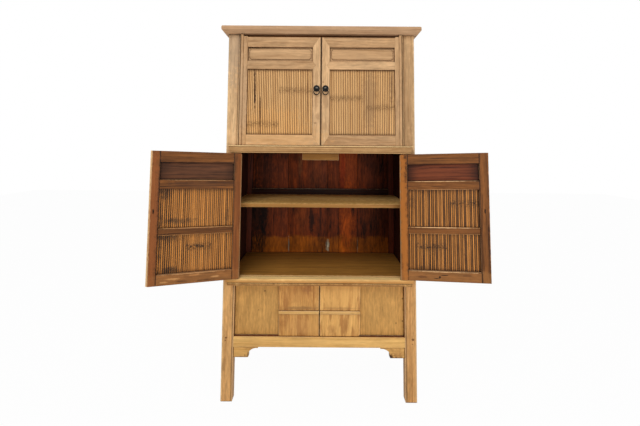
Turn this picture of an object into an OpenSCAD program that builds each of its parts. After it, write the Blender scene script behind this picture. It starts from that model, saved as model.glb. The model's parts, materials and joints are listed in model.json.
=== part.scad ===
// Tall cabinet with leaning sides, in millimetres.
// Two upper and two lower doors turn on wooden pivots, and each has a field of bamboo strips.
// Two panels in the base slide apart. The origin is on the floor at the centre of the
// footprint, the front faces -Y, +X is to the right and +Z is up.

/* [Overall] */
// Height from the floor to the top of the cap
cabinet_h = 1830; // [1700:10:1960]
// Width across the feet of the posts
foot_w = 964; // [900:2:1040]
// Depth from the front of the front posts to the back of the rear posts
carcass_d = 440; // [400:5:500]
// Inward lean of each side in degrees, sideways only
splay = 0.95; // [0.2:0.05:1.3]

/* [Rail levels] */
// Underside of the bottom rail above the floor
bottom_rail_z = 267; // [220:1:310]
// Height of the bottom rail
bottom_rail_h = 51; // [40:1:66]
// Underside of the base rail, which carries the lower doors
base_rail_z = 576; // [520:1:620]
// Height of the base rail
base_rail_h = 33; // [28:1:40]
// Underside of the middle rail, between the lower and upper doors
middle_rail_z = 1217; // [1160:1:1260]
// Height of the middle rail
middle_rail_h = 35; // [33:1:44]
// Height of the rail hidden under the cap
top_rail_h = 38; // [30:1:50]

/* [Posts and rails] */
// Width of a post seen from the front
post_w = 57; // [50:1:64]
// Depth of a post seen from the side
post_d = 45; // [44:1:54]
// Radius of the post's outer front edge
post_r = 5; // [2:0.5:8]
// Width of the bead along the post's inner front edge
post_bead_w = 4; // [3:0.5:6]
// Width and depth of the quirk beside that bead
quirk = 1.6; // [1:0.1:2.5]
// Thickness of the front rails between the posts
front_rail_t = 35; // [34:1:40]
// Thickness of the side rails
side_rail_t = 30; // [27:1:36]
// Thickness of the rear rails
rear_rail_t = 30; // [27:1:34]
// How far the base and middle rails stand in front of the posts
rail_proud = 25; // [20:1:32]
// Outer strip of the post's face that a proud rail leaves bare
rail_end_inset = 17; // [10:1:30]
// How much shorter a proud rail is at its lower edge, at each end
rail_end_slant = 9; // [2:1:14]
// Height of the bulge on the base rail's face
bulge_h = 20; // [10:0.5:22]
// Depth of that bulge
bulge_d = 4; // [2:0.5:6]
// Radius of the thin beads on the middle rail's face
rail_bead_r = 2.5; // [1.8:0.1:4]

/* [Tenons] */
// Thickness of a rail's tenon
tenon_t = 12; // [8:1:13]
// Distance from the outer face of the carcass to the tenon
tenon_set = 13; // [11:1:13]
// Length of the front and rear rails' tenons
tenon_l = 24; // [12:1:26]
// Length of the side rails' tenons
side_tenon_l = 18; // [10:1:18]
// Distance from the outside of the carcass to a side rail's tenon
side_tenon_set = 10; // [8:1:12]
// Shoulder above and below a tenon
tenon_shoulder = 8; // [7:1:10]
// Room at the bottom of a mortise
mortise_room = 1; // [0.5:0.5:1.5]
// Width of the stub tenon on top of a post
stub_w = 24; // [16:1:30]
// Height of that stub tenon
stub_h = 12; // [8:1:15]

/* [Cap] */
// Thickness of the cap
cap_h = 36; // [32:1:44]
// Overhang of the cap's lower edge beyond the sides
cap_side_over = 15; // [10:0.5:25]
// Overhang of the cap's lower edge beyond the doors' front, and as much at the back
cap_front_over = 0.5; // [0:0.5:8]
// How far the moulded edge swells out above its lower edge
cap_swell = 13.5; // [8:0.5:18]
// Height of the upright part of the moulded edge
cap_face_h = 20; // [14:0.5:22]
// Radius of the cap's top edge
cap_r = 8; // [4:0.5:10]
// Width of the mitred cap frame
cap_frame_w = 95; // [90:1:110]
// Distance from the underside of the cap to the tongue around the cap panel
cap_tongue_set = 9; // [6:0.5:12]
// Thickness of that tongue
cap_tongue_t = 9; // [6:0.5:12]
// Open joint between the cap panel and its frame
cap_joint = 1; // [0.5:0.5:3]

/* [Panels, floors and shelves] */
// Thickness of the side panels
side_panel_t = 10; // [8:0.5:12]
// Distance from the outside of the posts to the side panels
side_panel_set = 15; // [12:0.5:16]
// Depth of the grooves that hold panels
groove_d = 6; // [4:0.5:7]
// Thickness of the back boards
back_t = 10; // [8:0.5:14]
// Joints of the back boards, from the centre line
back_joints = [-193, 42, 112, 223]; // [-250:1:250]
// Open joint between two back boards
back_gap = 0.6; // [0.3:0.1:2]
// Thickness of the floors
floor_t = 12; // [10:0.5:16]
// How far the upper and middle floors stand above their rails, as a stop for the doors
floor_raise = 3; // [1.5:0.5:5]
// How far the base floor lies below the top of the bottom rail
base_floor_drop = 6; // [0:0.5:10]
// Fitting room around the floors and shelves
board_fit = 0.5; // [0.3:0.1:1.5]
// Thickness of the shelves
shelf_t = 18; // [14:0.5:24]
// Top of the shelf behind the lower doors
middle_shelf_z = 964; // [850:1:1050]
// Top of the shelf behind the upper doors
upper_shelf_z = 1520; // [1420:1:1600]
// Distance from the posts' front to the shelves' front edge
shelf_set = 30; // [16:1:60]
// Section of the square cleats under shelves and floors
cleat = 20; // [14:1:26]
// Height of the ledge across the back above the middle shelf
ledge_h = 38; // [30:1:60]
// Thickness of that ledge
ledge_t = 14; // [8:1:20]
// How far the ledge starts below the top of the shelf
ledge_drop = 4; // [2:1:10]

/* [Doors] */
// Thickness of a door
door_t = 28; // [27:0.5:30]
// How far the doors stand in front of the posts
door_proud = 16; // [15:0.5:18]
// Gap between a post and a door
door_side_gap = 5; // [3:0.5:8]
// Gap between the meeting stiles
meeting_gap = 3; // [1.5:0.5:5]
// Gap below a door
door_gap_below = 1; // [0.6:0.1:2]
// Gap above a lower door, for the rise of its free edge
door_gap_above = 4; // [2.5:0.5:6]
// Gap between the back of a closed door and what it stops against
door_stop_gap = 1; // [0.7:0.1:2]
// Gap between the upper doors' rails and the cap
cap_gap = 16.5; // [14:0.5:24]
// Width of a hinge stile
hinge_stile_w = 36; // [34:0.5:44]
// Radius of the bead on the hinge stile's outer front edge
bead_r = 8; // [7:0.5:9]
// Chamfer on the hinge stile's outer back edge
stile_chamfer = 4; // [3:0.5:6]
// Width of a meeting stile
meeting_stile_w = 40; // [36:0.5:48]
// Radius of the wooden pivots
pivot_r = 6; // [5:0.25:6.5]
// Running clearance of a pivot in its bore
pivot_fit = 0.05; // [0.02:0.01:0.1]
// Length of a pivot
pivot_l = 14; // [10:0.5:15]
// Room past the end of a pivot
pivot_room = 1; // [0.5:0.5:1.5]
// Height of the step beside the horn on an upper hinge stile
horn_step = 4; // [2:0.5:5]
// Width of that horn where it meets the cap
horn_w = 4; // [2:0.5:7]
// Size of the cut corner on top of a lower hinge stile
stile_ear = 6; // [3:0.5:8]
// Opening angle of the left lower door as shown
left_open = 159; // [0:0.5:175]
// Opening angle of the right lower door as shown
right_open = 169.5; // [0:0.5:175]

/* [Door frames] */
// Height of the top rail of a door
door_top_rail_h = 48; // [40:1:56]
// Height of the middle rail of a door
door_mid_rail_h = 40; // [34:1:48]
// Height of the bottom rail of an upper door
upper_bottom_rail_h = 52; // [40:1:60]
// Height of the bottom rail of a lower door
lower_bottom_rail_h = 47; // [40:1:60]
// Height of the panel opening of an upper door
upper_panel_h = 67; // [56:1:90]
// Height of the panel opening of a lower door
lower_panel_h = 81; // [60:1:100]
// Depth of the front layer, where the rails are mitred
mitre_t = 12; // [8:0.5:14]
// Width of a mitre across the meeting stile
mitre_w = 32; // [24:1:34]
// Length of the pointed end of the middle rail
point_l = 15; // [8:1:20]
// Thickness of the door rails' tenons
door_tenon_t = 8; // [6:0.5:9]
// Distance from the door's front to those tenons
door_tenon_set = 18; // [17.5:0.5:18.5]
// Length of those tenons
door_tenon_l = 15; // [8:1:17]
// Shoulder above and below those tenons
door_tenon_shoulder = 8; // [7:1:10]

/* [Door fields] */
// Distance from the door's front to the panel's back part
panel_set = 10; // [8:0.5:11]
// Thickness of the panel's back part
panel_t = 7; // [5:0.5:7.5]
// Height of the panel's raised field above its border
panel_raise = 3; // [1:0.5:4]
// Width of the panel's border
panel_border = 9; // [6:0.5:12]
// Radius of the hollows at the corners of the raised field
panel_corner_r = 6; // [3:0.5:9]
// Distance from the door's front to the crowns of the bamboo strips
slat_set = 8; // [5:0.5:9]
// Thickness of a bamboo strip
slat_t = 3.5; // [2.5:0.25:4]
// Spacing of the bamboo strips at the foot of a door, before it is rounded to a whole count
slat_pitch = 8.6; // [6.5:0.1:12]
// Open joint between two strips at the narrow end
slat_gap = 0.3; // [0.2:0.05:0.8]
// Height of the batten across the back of the strips
batten_h = 32; // [24:1:40]
// Thickness of that batten
batten_t = 12; // [8:0.5:13]
// Length of the batten's ends in the stiles
batten_end = 5; // [3:0.5:8]
// Height of the batten's middle, from the foot of the strips' opening, upper doors
upper_batten_z = 157; // [100:1:220]
// Height of the batten's middle, from the foot of the strips' opening, lower doors
lower_batten_z = 192; // [120:1:260]

/* [Ring pulls] */
// Height of the upper pulls above the floor
upper_pull_z = 1530; // [1450:1:1600]
// Height of the lower pulls above the floor
lower_pull_z = 948; // [850:1:1050]
// Radius of the backplate
plate_r = 15.5; // [12:0.5:17]
// Height of the backplate's dome
plate_dome = 3.5; // [2:0.25:4.5]
// Thickness of the backplate's rim
plate_rim = 1.2; // [0.8:0.1:1.8]
// Outer radius of the ring
ring_r = 15.5; // [12:0.5:17]
// Radius of the ring's wire
ring_wire = 2.2; // [1.5:0.1:2.6]
// Distance from the middle of the plate down to the staple's eye
eye_drop = 4.5; // [3:0.5:7]
// Radius of the staple's wire
staple_wire = 1.3; // [1:0.1:1.8]
// Radius of the staple's shank
shank_r = 1.8; // [1.3:0.1:2.4]
// Clearance of the shank in its hole
shank_fit = 0.05; // [0.02:0.01:0.2]
// Clearance between the ring and the eye, and between the ring and the plate
ring_fit = 0.5; // [0.3:0.05:0.8]
// Length of the staple's bent ends on the back of the door
staple_end = 9; // [6:1:14]

/* [Base panels] */
// Width of a sliding panel
slider_w = 198; // [160:1:205]
// Gap between the closed sliding panels
slider_gap = 4; // [2:0.5:6]
// Thickness of a sliding panel
slider_t = 10; // [8:0.5:11]
// Distance from the posts' front to the sliding panels
slider_set = 7; // [6.5:0.25:7.5]
// Running clearance of a sliding panel in its grooves
slider_fit = 0.3; // [0.2:0.05:0.6]
// Depth of the upper groove, which lets a sliding panel be lifted out
slider_lift = 9; // [7:0.5:11]
// Height of the grip batten on a sliding panel
grip_h = 16; // [12:1:22]
// Thickness of the grip batten
grip_t = 6; // [3:0.5:6]
// Height of the grip's middle above the bottom rail
grip_z = 118; // [90:1:150]
// Thickness of the fixed panels
fixed_t = 8; // [6:0.5:9]
// Distance from the posts' front to the fixed panels
fixed_set = 20.5; // [18.5:0.5:21]
// How far a fixed panel reaches behind its sliding panel
fixed_lap = 10; // [6:1:20]

/* [Brackets and stop] */
// Length of a bracket along the rail
bracket_l = 124; // [105:1:140]
// Height of a bracket at the post
bracket_h = 53; // [44:1:64]
// Thickness of a bracket
bracket_t = 22; // [16:1:28]
// Length of the deep lobe beside the post
lobe_l = 75; // [56:1:80]
// Depth at which the lobe begins
lobe_top = 27; // [22:1:36]
// Length and depth of the small step at the bracket's tip
tip_step = 8; // [6:0.5:12]
// Distance from the posts' front to the brackets
bracket_set = 5; // [2:1:10]
// Size of the worn corner of the lobe
lobe_corner = 2.5; // [2:0.5:7]
// Width of the stop block above the lower doors
stop_w = 179; // [120:1:240]
// Height of the stop block
stop_h = 35; // [20:1:50]
// Thickness of the stop block
stop_t = 12; // [8:1:20]

/* [Hidden] */
$fn = 48;
// How far a cutting shape passes the face that it cuts
past = 1;

// Levels that follow from the driving heights
cap_z = cabinet_h - cap_h;
bottom_rail_top = bottom_rail_z + bottom_rail_h;
base_rail_top = base_rail_z + base_rail_h;
middle_rail_top = middle_rail_z + middle_rail_h;
top_rail_z = cap_z - top_rail_h;
rail_levels = [
    [bottom_rail_z, bottom_rail_top],
    [base_rail_z, base_rail_top],
    [middle_rail_z, middle_rail_top],
    [top_rail_z, cap_z]
];
panel_levels = [for (i = [0:2]) [rail_levels[i][1], rail_levels[i + 1][0]]];
base_floor_z = bottom_rail_top - base_floor_drop - floor_t;
middle_floor_z = base_rail_top + floor_raise - floor_t;
upper_floor_z = middle_rail_top + floor_raise - floor_t;

// Planes across the depth
front_y = -carcass_d / 2;
back_y = carcass_d / 2;
inner_d = carcass_d - 2 * post_d;
slider_y = front_y + slider_set;
door_y = front_y - door_proud;
door_back_y = door_y + door_t;
stop_y = door_back_y + door_stop_gap;
rail_back_y = front_y + front_rail_t;
back_board_y = back_y - rear_rail_t - back_t;
pivot_y = door_y + bead_r;

// Insets measured square to the leaning outer face of the carcass
door_inset = post_w + door_side_gap;
pivot_inset = door_inset + bead_r;
opening_inset = door_inset + hinge_stile_w;

// Inner edge of the meeting stile, and the middle of its width
meeting_x = meeting_gap / 2 + meeting_stile_w;
pull_x = meeting_gap / 2 + meeting_stile_w / 2;
// Outer edge of the left sliding panel
slider_x = -slider_gap / 2 - slider_w;

// A door is the surface its foot stands over, the top of its rails, the top of its hinge
// stile, the surface above that, its panel opening, its bottom rail and its batten's middle
upper_door = [middle_rail_top, cap_z - cap_gap, cap_z - door_gap_below, cap_z,
              upper_panel_h, upper_bottom_rail_h, upper_batten_z];
lower_door = [base_rail_top, middle_rail_z - door_gap_above,
              middle_rail_z - door_gap_above, middle_rail_z,
              lower_panel_h, lower_bottom_rail_h, lower_batten_z];
function seat_foot(door) = door[0];
function foot(door) = door[0] + door_gap_below;
function rails_top(door) = door[1];
function stile_top(door) = door[2];
function seat_top(door) = door[3];
function panel_top(door) = rails_top(door) - door_top_rail_h;
function panel_foot(door) = panel_top(door) - door[4];
function field_top(door) = panel_foot(door) - door_mid_rail_h;
function field_foot(door) = foot(door) + door[5];
function batten_mid(door) = field_foot(door) + door[6];

// Horizontal width of something w wide square to the leaning face
function across(w) = w / cos(splay);
// X on the right-hand side of a point w inside the outer face at height z
function edge_x(z, w) = foot_w / 2 - z * tan(splay) - across(w);
// Outline between two leaning edges w inside the outer faces
function between(z0, z1, w) = [
    [-edge_x(z0, w), z0], [edge_x(z0, w), z0], [edge_x(z1, w), z1], [-edge_x(z1, w), z1]
];
// Outline of a leaning strip on the left, between the insets w0 and w1
function strip(z0, z1, w0, w1) = [
    [-edge_x(z0, w0), z0], [-edge_x(z0, w1), z0], [-edge_x(z1, w1), z1], [-edge_x(z1, w0), z1]
];
// Outline of a left door's member from the leaning inset w to the upright line x
function member(z0, z1, w, x) = [
    [-edge_x(z0, w), z0], [x, z0], [x, z1], [-edge_x(z1, w), z1]
];

// Board whose outline is seen from the front, from y back to y + t
module board(points, y, t) {
    translate([0, y + t, 0]) rotate([90, 0, 0]) linear_extrude(t) polygon(points);
}

module both_sides() {
    children();
    mirror([1, 0, 0]) children();
}

module front_and_rear() {
    children();
    mirror([0, 1, 0]) children();
}

// Moves what is drawn at x = 0 on the floor along the left side's lean, w inside its face
module on_lean(w, y) {
    translate([-edge_x(0, w), y, 0]) rotate([0, splay, 0]) children();
}

// Tenons of the front rails, drawn as one bar through the rail
module front_tenon_bar(level, room = 0) {
    board(between(level[0] + tenon_shoulder, level[1] - tenon_shoulder,
                  post_w - tenon_l - room),
          front_y + tenon_set, tenon_t);
}

// Tenons of the left side rail, drawn as one bar through the rail
module side_tenon_bar(level, room = 0) {
    reach = inner_d / 2 + side_tenon_l + room;
    board(strip(level[0] + tenon_shoulder, level[1] - tenon_shoulder,
                side_tenon_set, side_tenon_set + tenon_t),
          -reach, 2 * reach);
}

// Left side panel of one level, with the edges that sit in grooves
module side_panel(level) {
    reach = inner_d / 2 + groove_d;
    board(strip(level[0] - groove_d, level[1] + groove_d,
                side_panel_set, side_panel_set + side_panel_t),
          -reach, 2 * reach);
}

// Left fixed panel of the base
module fixed_panel() {
    z0 = bottom_rail_top - groove_d;
    z1 = base_rail_z + groove_d;
    board(member(z0, z1, post_w - groove_d, slider_x + fixed_lap),
          front_y + fixed_set, fixed_t);
}

// Plan of a post, with its outer front corner at the origin
module post_plan() {
    difference() {
        union() {
            translate([post_r, 0]) square([post_w - post_r, post_d]);
            translate([0, post_r]) square([post_w, post_d - post_r]);
            translate([post_r, post_r]) circle(post_r);
        }
        translate([post_w - post_bead_w - quirk, 0]) square(quirk);
    }
}

// Front left post, without the fixed panel's groove
module post() {
    difference() {
        intersection() {
            on_lean(0, front_y) translate([0, 0, -post_w])
                linear_extrude(cabinet_h + post_w) post_plan();
            translate([-foot_w, -carcass_d, 0]) cube([foot_w, 2 * carcass_d, cap_z]);
        }
        for (level = rail_levels) {
            front_tenon_bar(level, mortise_room);
            side_tenon_bar(level, mortise_room);
        }
        for (level = panel_levels) side_panel(level);
    }
    post_stub();
}

// Stub tenon that enters the cap
module post_stub() {
    translate([-edge_x(cap_z, post_w / 2) - stub_w / 2, front_y + (post_d - stub_w) / 2, cap_z])
        cube([stub_w, stub_w, stub_h]);
}

module post_front_left() color("burlywood") difference() {
    post();
    fixed_panel();
}

module post_front_right() color("burlywood") mirror([1, 0, 0]) difference() {
    post();
    fixed_panel();
}

module post_rear_left() color("tan") mirror([0, 1, 0]) post();

module post_rear_right() color("tan") mirror([1, 0, 0]) mirror([0, 1, 0]) post();

// Half sizes of the cap at its widest
cap_x = edge_x(cap_z, 0) + cap_side_over + cap_swell;
cap_y = -door_y + cap_front_over + cap_swell;
cap_open_x = cap_x - cap_frame_w;
cap_open_y = cap_y - cap_frame_w;

// Section right across the cap, with its moulded edge at both ends; y runs upwards
module cap_section(half_w) {
    difference() {
        polygon([[cap_swell - half_w, 0], [half_w - cap_swell, 0],
                 [half_w, cap_h - cap_face_h], [half_w, cap_h],
                 [-half_w, cap_h], [-half_w, cap_h - cap_face_h]]);
        for (side = [-1, 1]) translate([side * (half_w - cap_r), cap_h - cap_r]) difference() {
            translate([(side - 1) * cap_r, 0]) square(2 * cap_r);
            circle(cap_r);
        }
    }
}

// Whole cap, its moulding mitred at the corners
module cap_block() intersection() {
    translate([-cap_x, 0, cap_z]) rotate([90, 0, 90])
        linear_extrude(2 * cap_x) cap_section(cap_y);
    translate([0, cap_y, cap_z]) rotate([90, 0, 0])
        linear_extrude(2 * cap_y) cap_section(cap_x);
}

module cap_tongue() {
    translate([-cap_open_x - groove_d, -cap_open_y - groove_d, cap_z + cap_tongue_set])
        cube([2 * (cap_open_x + groove_d), 2 * (cap_open_y + groove_d), cap_tongue_t]);
}

module cap_frame() color("tan") difference() {
    cap_block();
    translate([-cap_open_x, -cap_open_y, cap_z - past])
        cube([2 * cap_open_x, 2 * cap_open_y, cap_h + 2 * past]);
    cap_tongue();
    both_sides() {
        front_and_rear() post_stub();
        pivot_bore(cap_z - pivot_l, cap_z + pivot_l + pivot_room);
    }
}

module cap_panel() color("burlywood") {
    cap_tongue();
    translate([-cap_open_x + cap_joint, -cap_open_y + cap_joint, cap_z + cap_tongue_set])
        cube([2 * (cap_open_x - cap_joint), 2 * (cap_open_y - cap_joint),
              cap_h - cap_tongue_set]);
}

// Rod on the left pivot's axis between two heights
module pivot_rod(z0, z1, r) {
    on_lean(pivot_inset, pivot_y) translate([0, 0, z0 / cos(splay)])
        cylinder(r = r, h = (z1 - z0) / cos(splay));
}

module pivot_bore(z0, z1) pivot_rod(z0, z1, pivot_r + pivot_fit);

// Groove in which the sliding panels run, drawn right across the base opening
module slider_slot() {
    board(between(bottom_rail_top - groove_d, base_rail_z + slider_lift, post_w - past),
          slider_y - slider_fit, slider_t + 2 * slider_fit);
}

module base_grooves() {
    slider_slot();
    both_sides() fixed_panel();
}

module bottom_rail() color("burlywood") difference() {
    union() {
        front_tenon_bar(rail_levels[0]);
        board(between(bottom_rail_z, bottom_rail_top, post_w), front_y, front_rail_t);
    }
    base_grooves();
}

// Moulded face of the base rail: a bulge over a quirk and a small fillet.
// x runs backwards from the rail's front, y upwards from its underside
module base_moulding() {
    arc_r = (bulge_h * bulge_h / 4 + bulge_d * bulge_d) / (2 * bulge_d);
    groove_x = bulge_d + quirk / 2;
    translate([groove_x, 0]) square([rail_proud - groove_x, base_rail_h]);
    translate([0, base_rail_h - bulge_h]) intersection() {
        translate([arc_r, bulge_h / 2]) circle(arc_r);
        translate([-past, 0]) square([past + min(arc_r, rail_proud), bulge_h]);
    }
    translate([quirk, 0]) square([rail_proud - quirk, base_rail_h - bulge_h - 2 * quirk]);
}

// Moulded face of the middle rail: a flat between two thin beads
module middle_moulding() {
    translate([quirk, 0]) square([rail_proud - quirk, middle_rail_h]);
    for (y = [rail_bead_r, middle_rail_h - rail_bead_r])
        translate([rail_bead_r, y]) circle(rail_bead_r);
}

// Rail that stands in front of the posts, rebated along its back edge for a floor.
// The moulding's section is the child
module proud_rail(level, floor_z) {
    top_x = edge_x(level[1], rail_end_inset);
    foot_x = top_x - rail_end_slant;
    intersection() {
        translate([-foot_w / 2, front_y - rail_proud, level[0]]) rotate([90, 0, 90])
            linear_extrude(foot_w) children();
        board([[-foot_x, level[0]], [foot_x, level[0]], [top_x, level[1]], [-top_x, level[1]]],
              front_y - rail_proud, rail_proud);
    }
    difference() {
        board(between(level[0], level[1], post_w), front_y, front_rail_t);
        translate([-foot_w / 2, door_back_y, floor_z])
            cube([foot_w, front_rail_t, level[1] - floor_z + past]);
    }
    front_tenon_bar([level[0], min(level[1], floor_z + tenon_shoulder)]);
}

module base_rail() color("burlywood") difference() {
    proud_rail(rail_levels[1], middle_floor_z) base_moulding();
    base_grooves();
    both_sides() pivot_bore(base_rail_top - pivot_l - pivot_room, base_rail_top + pivot_l);
}

module middle_rail() color("burlywood") difference() {
    proud_rail(rail_levels[2], upper_floor_z) middle_moulding();
    both_sides() {
        pivot_bore(middle_rail_z - pivot_l, middle_rail_z + pivot_l + pivot_room);
        pivot_bore(middle_rail_top - pivot_l - pivot_room, middle_rail_top + pivot_l);
    }
}

module top_rail() color("saddlebrown") {
    front_tenon_bar(rail_levels[3]);
    board(between(top_rail_z, cap_z, post_w), stop_y, rail_back_y - stop_y);
}

module side_rails() color("tan") both_sides() for (level = rail_levels) difference() {
    union() {
        side_tenon_bar(level);
        board(strip(level[0], level[1], 0, side_rail_t), -inner_d / 2, inner_d);
    }
    for (panel = panel_levels) side_panel(panel);
}

module rear_rails() color("tan") {
    for (level = rail_levels) {
        mirror([0, 1, 0]) front_tenon_bar(level);
        board(between(level[0], level[1], post_w), back_y - rear_rail_t, rear_rail_t);
    }
    ledge_z = middle_shelf_z - ledge_drop;
    board(between(ledge_z, ledge_z + ledge_h, post_w), back_board_y - ledge_t, ledge_t);
}

module side_panels() color("tan") both_sides() for (level = panel_levels) side_panel(level);

// Outline of a back board between the two x limits at its foot and at its head
function back_outline(x0, x1, head_x0, head_x1) = [
    [x0, bottom_rail_z], [x1, bottom_rail_z], [head_x1, cap_z], [head_x0, cap_z]
];

module back_boards() color("sienna") {
    foot_x = edge_x(bottom_rail_z, post_w);
    head_x = edge_x(cap_z, post_w);
    last = len(back_joints) - 1;
    slit = back_gap / 2;
    board(back_outline(-foot_x, back_joints[0] - slit, -head_x, back_joints[0] - slit),
          back_board_y, back_t);
    for (i = [1:last]) {
        x0 = back_joints[i - 1] + slit;
        x1 = back_joints[i] - slit;
        board(back_outline(x0, x1, x0, x1), back_board_y, back_t);
    }
    board(back_outline(back_joints[last] + slit, foot_x, back_joints[last] + slit, head_x),
          back_board_y, back_t);
}

// Horizontal board notched around the posts, from y0 to y1, with its underside at z.
// Its ends reach between the side rails or panels, side_inset inside the outer faces
module notched_board(z, t, y0, y1, side_inset) {
    mid_x = edge_x(z + t, post_w) - board_fit;
    end_x = edge_x(z + t, side_inset) - board_fit;
    end_y0 = max(y0, -inner_d / 2 + board_fit);
    end_y1 = min(y1, inner_d / 2 - board_fit);
    translate([-mid_x, y0, z]) cube([2 * mid_x, y1 - y0, t]);
    translate([-end_x, end_y0, z]) cube([2 * end_x, end_y1 - end_y0, t]);
}

module upper_floor() color("peru")
    notched_board(upper_floor_z, floor_t, stop_y, back_board_y - board_fit, side_rail_t);

module middle_floor() color("peru")
    notched_board(middle_floor_z, floor_t, stop_y, back_board_y - board_fit, side_rail_t);

module base_floor() color("peru")
    notched_board(base_floor_z, floor_t, rail_back_y + board_fit, back_board_y - board_fit,
                  side_rail_t);

module upper_shelf() color("peru")
    notched_board(upper_shelf_z - shelf_t, shelf_t, front_y + shelf_set,
                  back_board_y - board_fit, side_panel_set + side_panel_t);

module middle_shelf() color("peru")
    notched_board(middle_shelf_z - shelf_t, shelf_t, front_y + shelf_set,
                  back_board_y - ledge_t - board_fit, side_panel_set + side_panel_t);

// Left cleat below height z, on a face that is inset from the outside
module left_cleat(z, inset) {
    board(strip(z - cleat, z, inset, inset + cleat), -inner_d / 2 + cleat, inner_d - 2 * cleat);
}

module cleats() color("saddlebrown") both_sides() {
    for (z = [base_floor_z, middle_floor_z, upper_floor_z]) left_cleat(z, side_rail_t);
    for (z = [middle_shelf_z, upper_shelf_z])
        left_cleat(z - shelf_t, side_panel_set + side_panel_t);
}

module fixed_base_panels() color("burlywood") both_sides() fixed_panel();

module stop_block() color("burlywood")
    translate([-stop_w / 2, stop_y, middle_rail_z - stop_h]) cube([stop_w, stop_t, stop_h]);

// Left bracket seen from the front: a step at the tip, a hollow, and a lobe beside the post.
// The hollow's arc runs from the step at hollow_x down to the top of the lobe
module bracket() {
    hollow_x = bracket_l - 2 * tip_step;
    hollow_d = lobe_top - tip_step;
    arc_x = hollow_x + tip_step;
    reach = arc_x - lobe_l;
    arc_drop = (reach * reach - tip_step * tip_step + hollow_d * hollow_d) / (2 * hollow_d);
    lean = edge_x(bottom_rail_z - bracket_h, post_w) - edge_x(bottom_rail_z, post_w);
    translate([-edge_x(bottom_rail_z, post_w), front_y + bracket_set + bracket_t, bottom_rail_z])
        rotate([90, 0, 0]) linear_extrude(bracket_t) mirror([0, 1]) difference() {
            polygon([[0, 0], [bracket_l, 0], [bracket_l - tip_step / 2, tip_step],
                     [hollow_x + past, tip_step], [hollow_x + past, lobe_top + past],
                     [lobe_l, lobe_top + past],
                     [lobe_l - lobe_corner / 2, bracket_h - lobe_corner],
                     [lobe_l - 2 * lobe_corner, bracket_h], [-lean, bracket_h]]);
            intersection() {
                translate([arc_x, tip_step + arc_drop]) circle(norm([tip_step, arc_drop]));
                translate([lobe_l, tip_step]) square([reach, bracket_h]);
            }
        }
}

module brackets() color("burlywood") both_sides() front_and_rear() bracket();

// Plan of a left hinge stile, with its outer front corner at the origin
module hinge_stile_plan() {
    difference() {
        union() {
            translate([bead_r, bead_r]) circle(bead_r);
            translate([0, bead_r]) square([hinge_stile_w, door_t - bead_r]);
            translate([bead_r, bead_r / 2]) square([hinge_stile_w - bead_r, bead_r]);
            translate([2 * bead_r + quirk, 0])
                square([hinge_stile_w - 2 * bead_r - quirk, door_t]);
        }
        polygon([[-stile_chamfer, door_t - 2 * stile_chamfer],
                 [2 * stile_chamfer, door_t + stile_chamfer],
                 [-stile_chamfer, door_t + stile_chamfer]]);
    }
}

// Points given as [distance from the stile's outer edge, height], leaning with the stile
function leaning(points) = [for (p = points) [-edge_x(p[1], door_inset + p[0]), p[1]]];

// Outline of a hinge stile: upper stiles rise beside the gap under the cap in a cut-down horn
function stile_outline(door) =
    stile_top(door) > rails_top(door)
    ? leaning([[-past, foot(door)], [hinge_stile_w + past, foot(door)],
               [hinge_stile_w + past, rails_top(door)], [hinge_stile_w, rails_top(door)],
               [hinge_stile_w - horn_step, rails_top(door) + horn_step],
               [2 * bead_r + horn_step, rails_top(door) + horn_step],
               [2 * bead_r, rails_top(door) + horn_step - quirk / 2],
               [horn_w, stile_top(door)], [-past, stile_top(door)]])
    : leaning([[-past, foot(door)], [hinge_stile_w + past, foot(door)],
               [hinge_stile_w + past, stile_top(door)], [stile_ear, stile_top(door)],
               [-past, stile_top(door) - stile_ear - past]]);

// Tenon bars of a left door's rails
module door_tenon_bars(door) {
    for (z = [[foot(door), field_foot(door)], [field_top(door), panel_foot(door)],
              [panel_top(door), rails_top(door)]])
        board(member(z[0] + door_tenon_shoulder, z[1] - door_tenon_shoulder,
                     opening_inset - door_tenon_l, -meeting_x + door_tenon_l),
              door_y + door_tenon_set, door_tenon_t);
}

// Back part of a left door's panel, with the edges that sit in grooves
module panel_tongue(door) {
    board(member(panel_foot(door) - groove_d, panel_top(door) + groove_d,
                 opening_inset - groove_d, -meeting_x + groove_d),
          door_y + panel_set, panel_t);
}

// Left door's batten, with the ends that sit in the stiles
module batten_blank(door) {
    board(member(batten_mid(door) - batten_h / 2, batten_mid(door) + batten_h / 2,
                 opening_inset - batten_end, -meeting_x + batten_end),
          door_y + slat_set + slat_t, batten_t);
}

module hinge_stile(door) color("tan") {
    difference() {
        intersection() {
            on_lean(door_inset, door_y)
                linear_extrude(cabinet_h / cos(splay)) hinge_stile_plan();
            board(stile_outline(door), door_y - past, door_t + 2 * past);
        }
        door_tenon_bars(door);
        panel_tongue(door);
        batten_blank(door);
    }
    pivot_rod(seat_foot(door) - pivot_l, foot(door) + pivot_l, pivot_r);
    pivot_rod(stile_top(door) - pivot_l, seat_top(door) + pivot_l, pivot_r);
}

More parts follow.
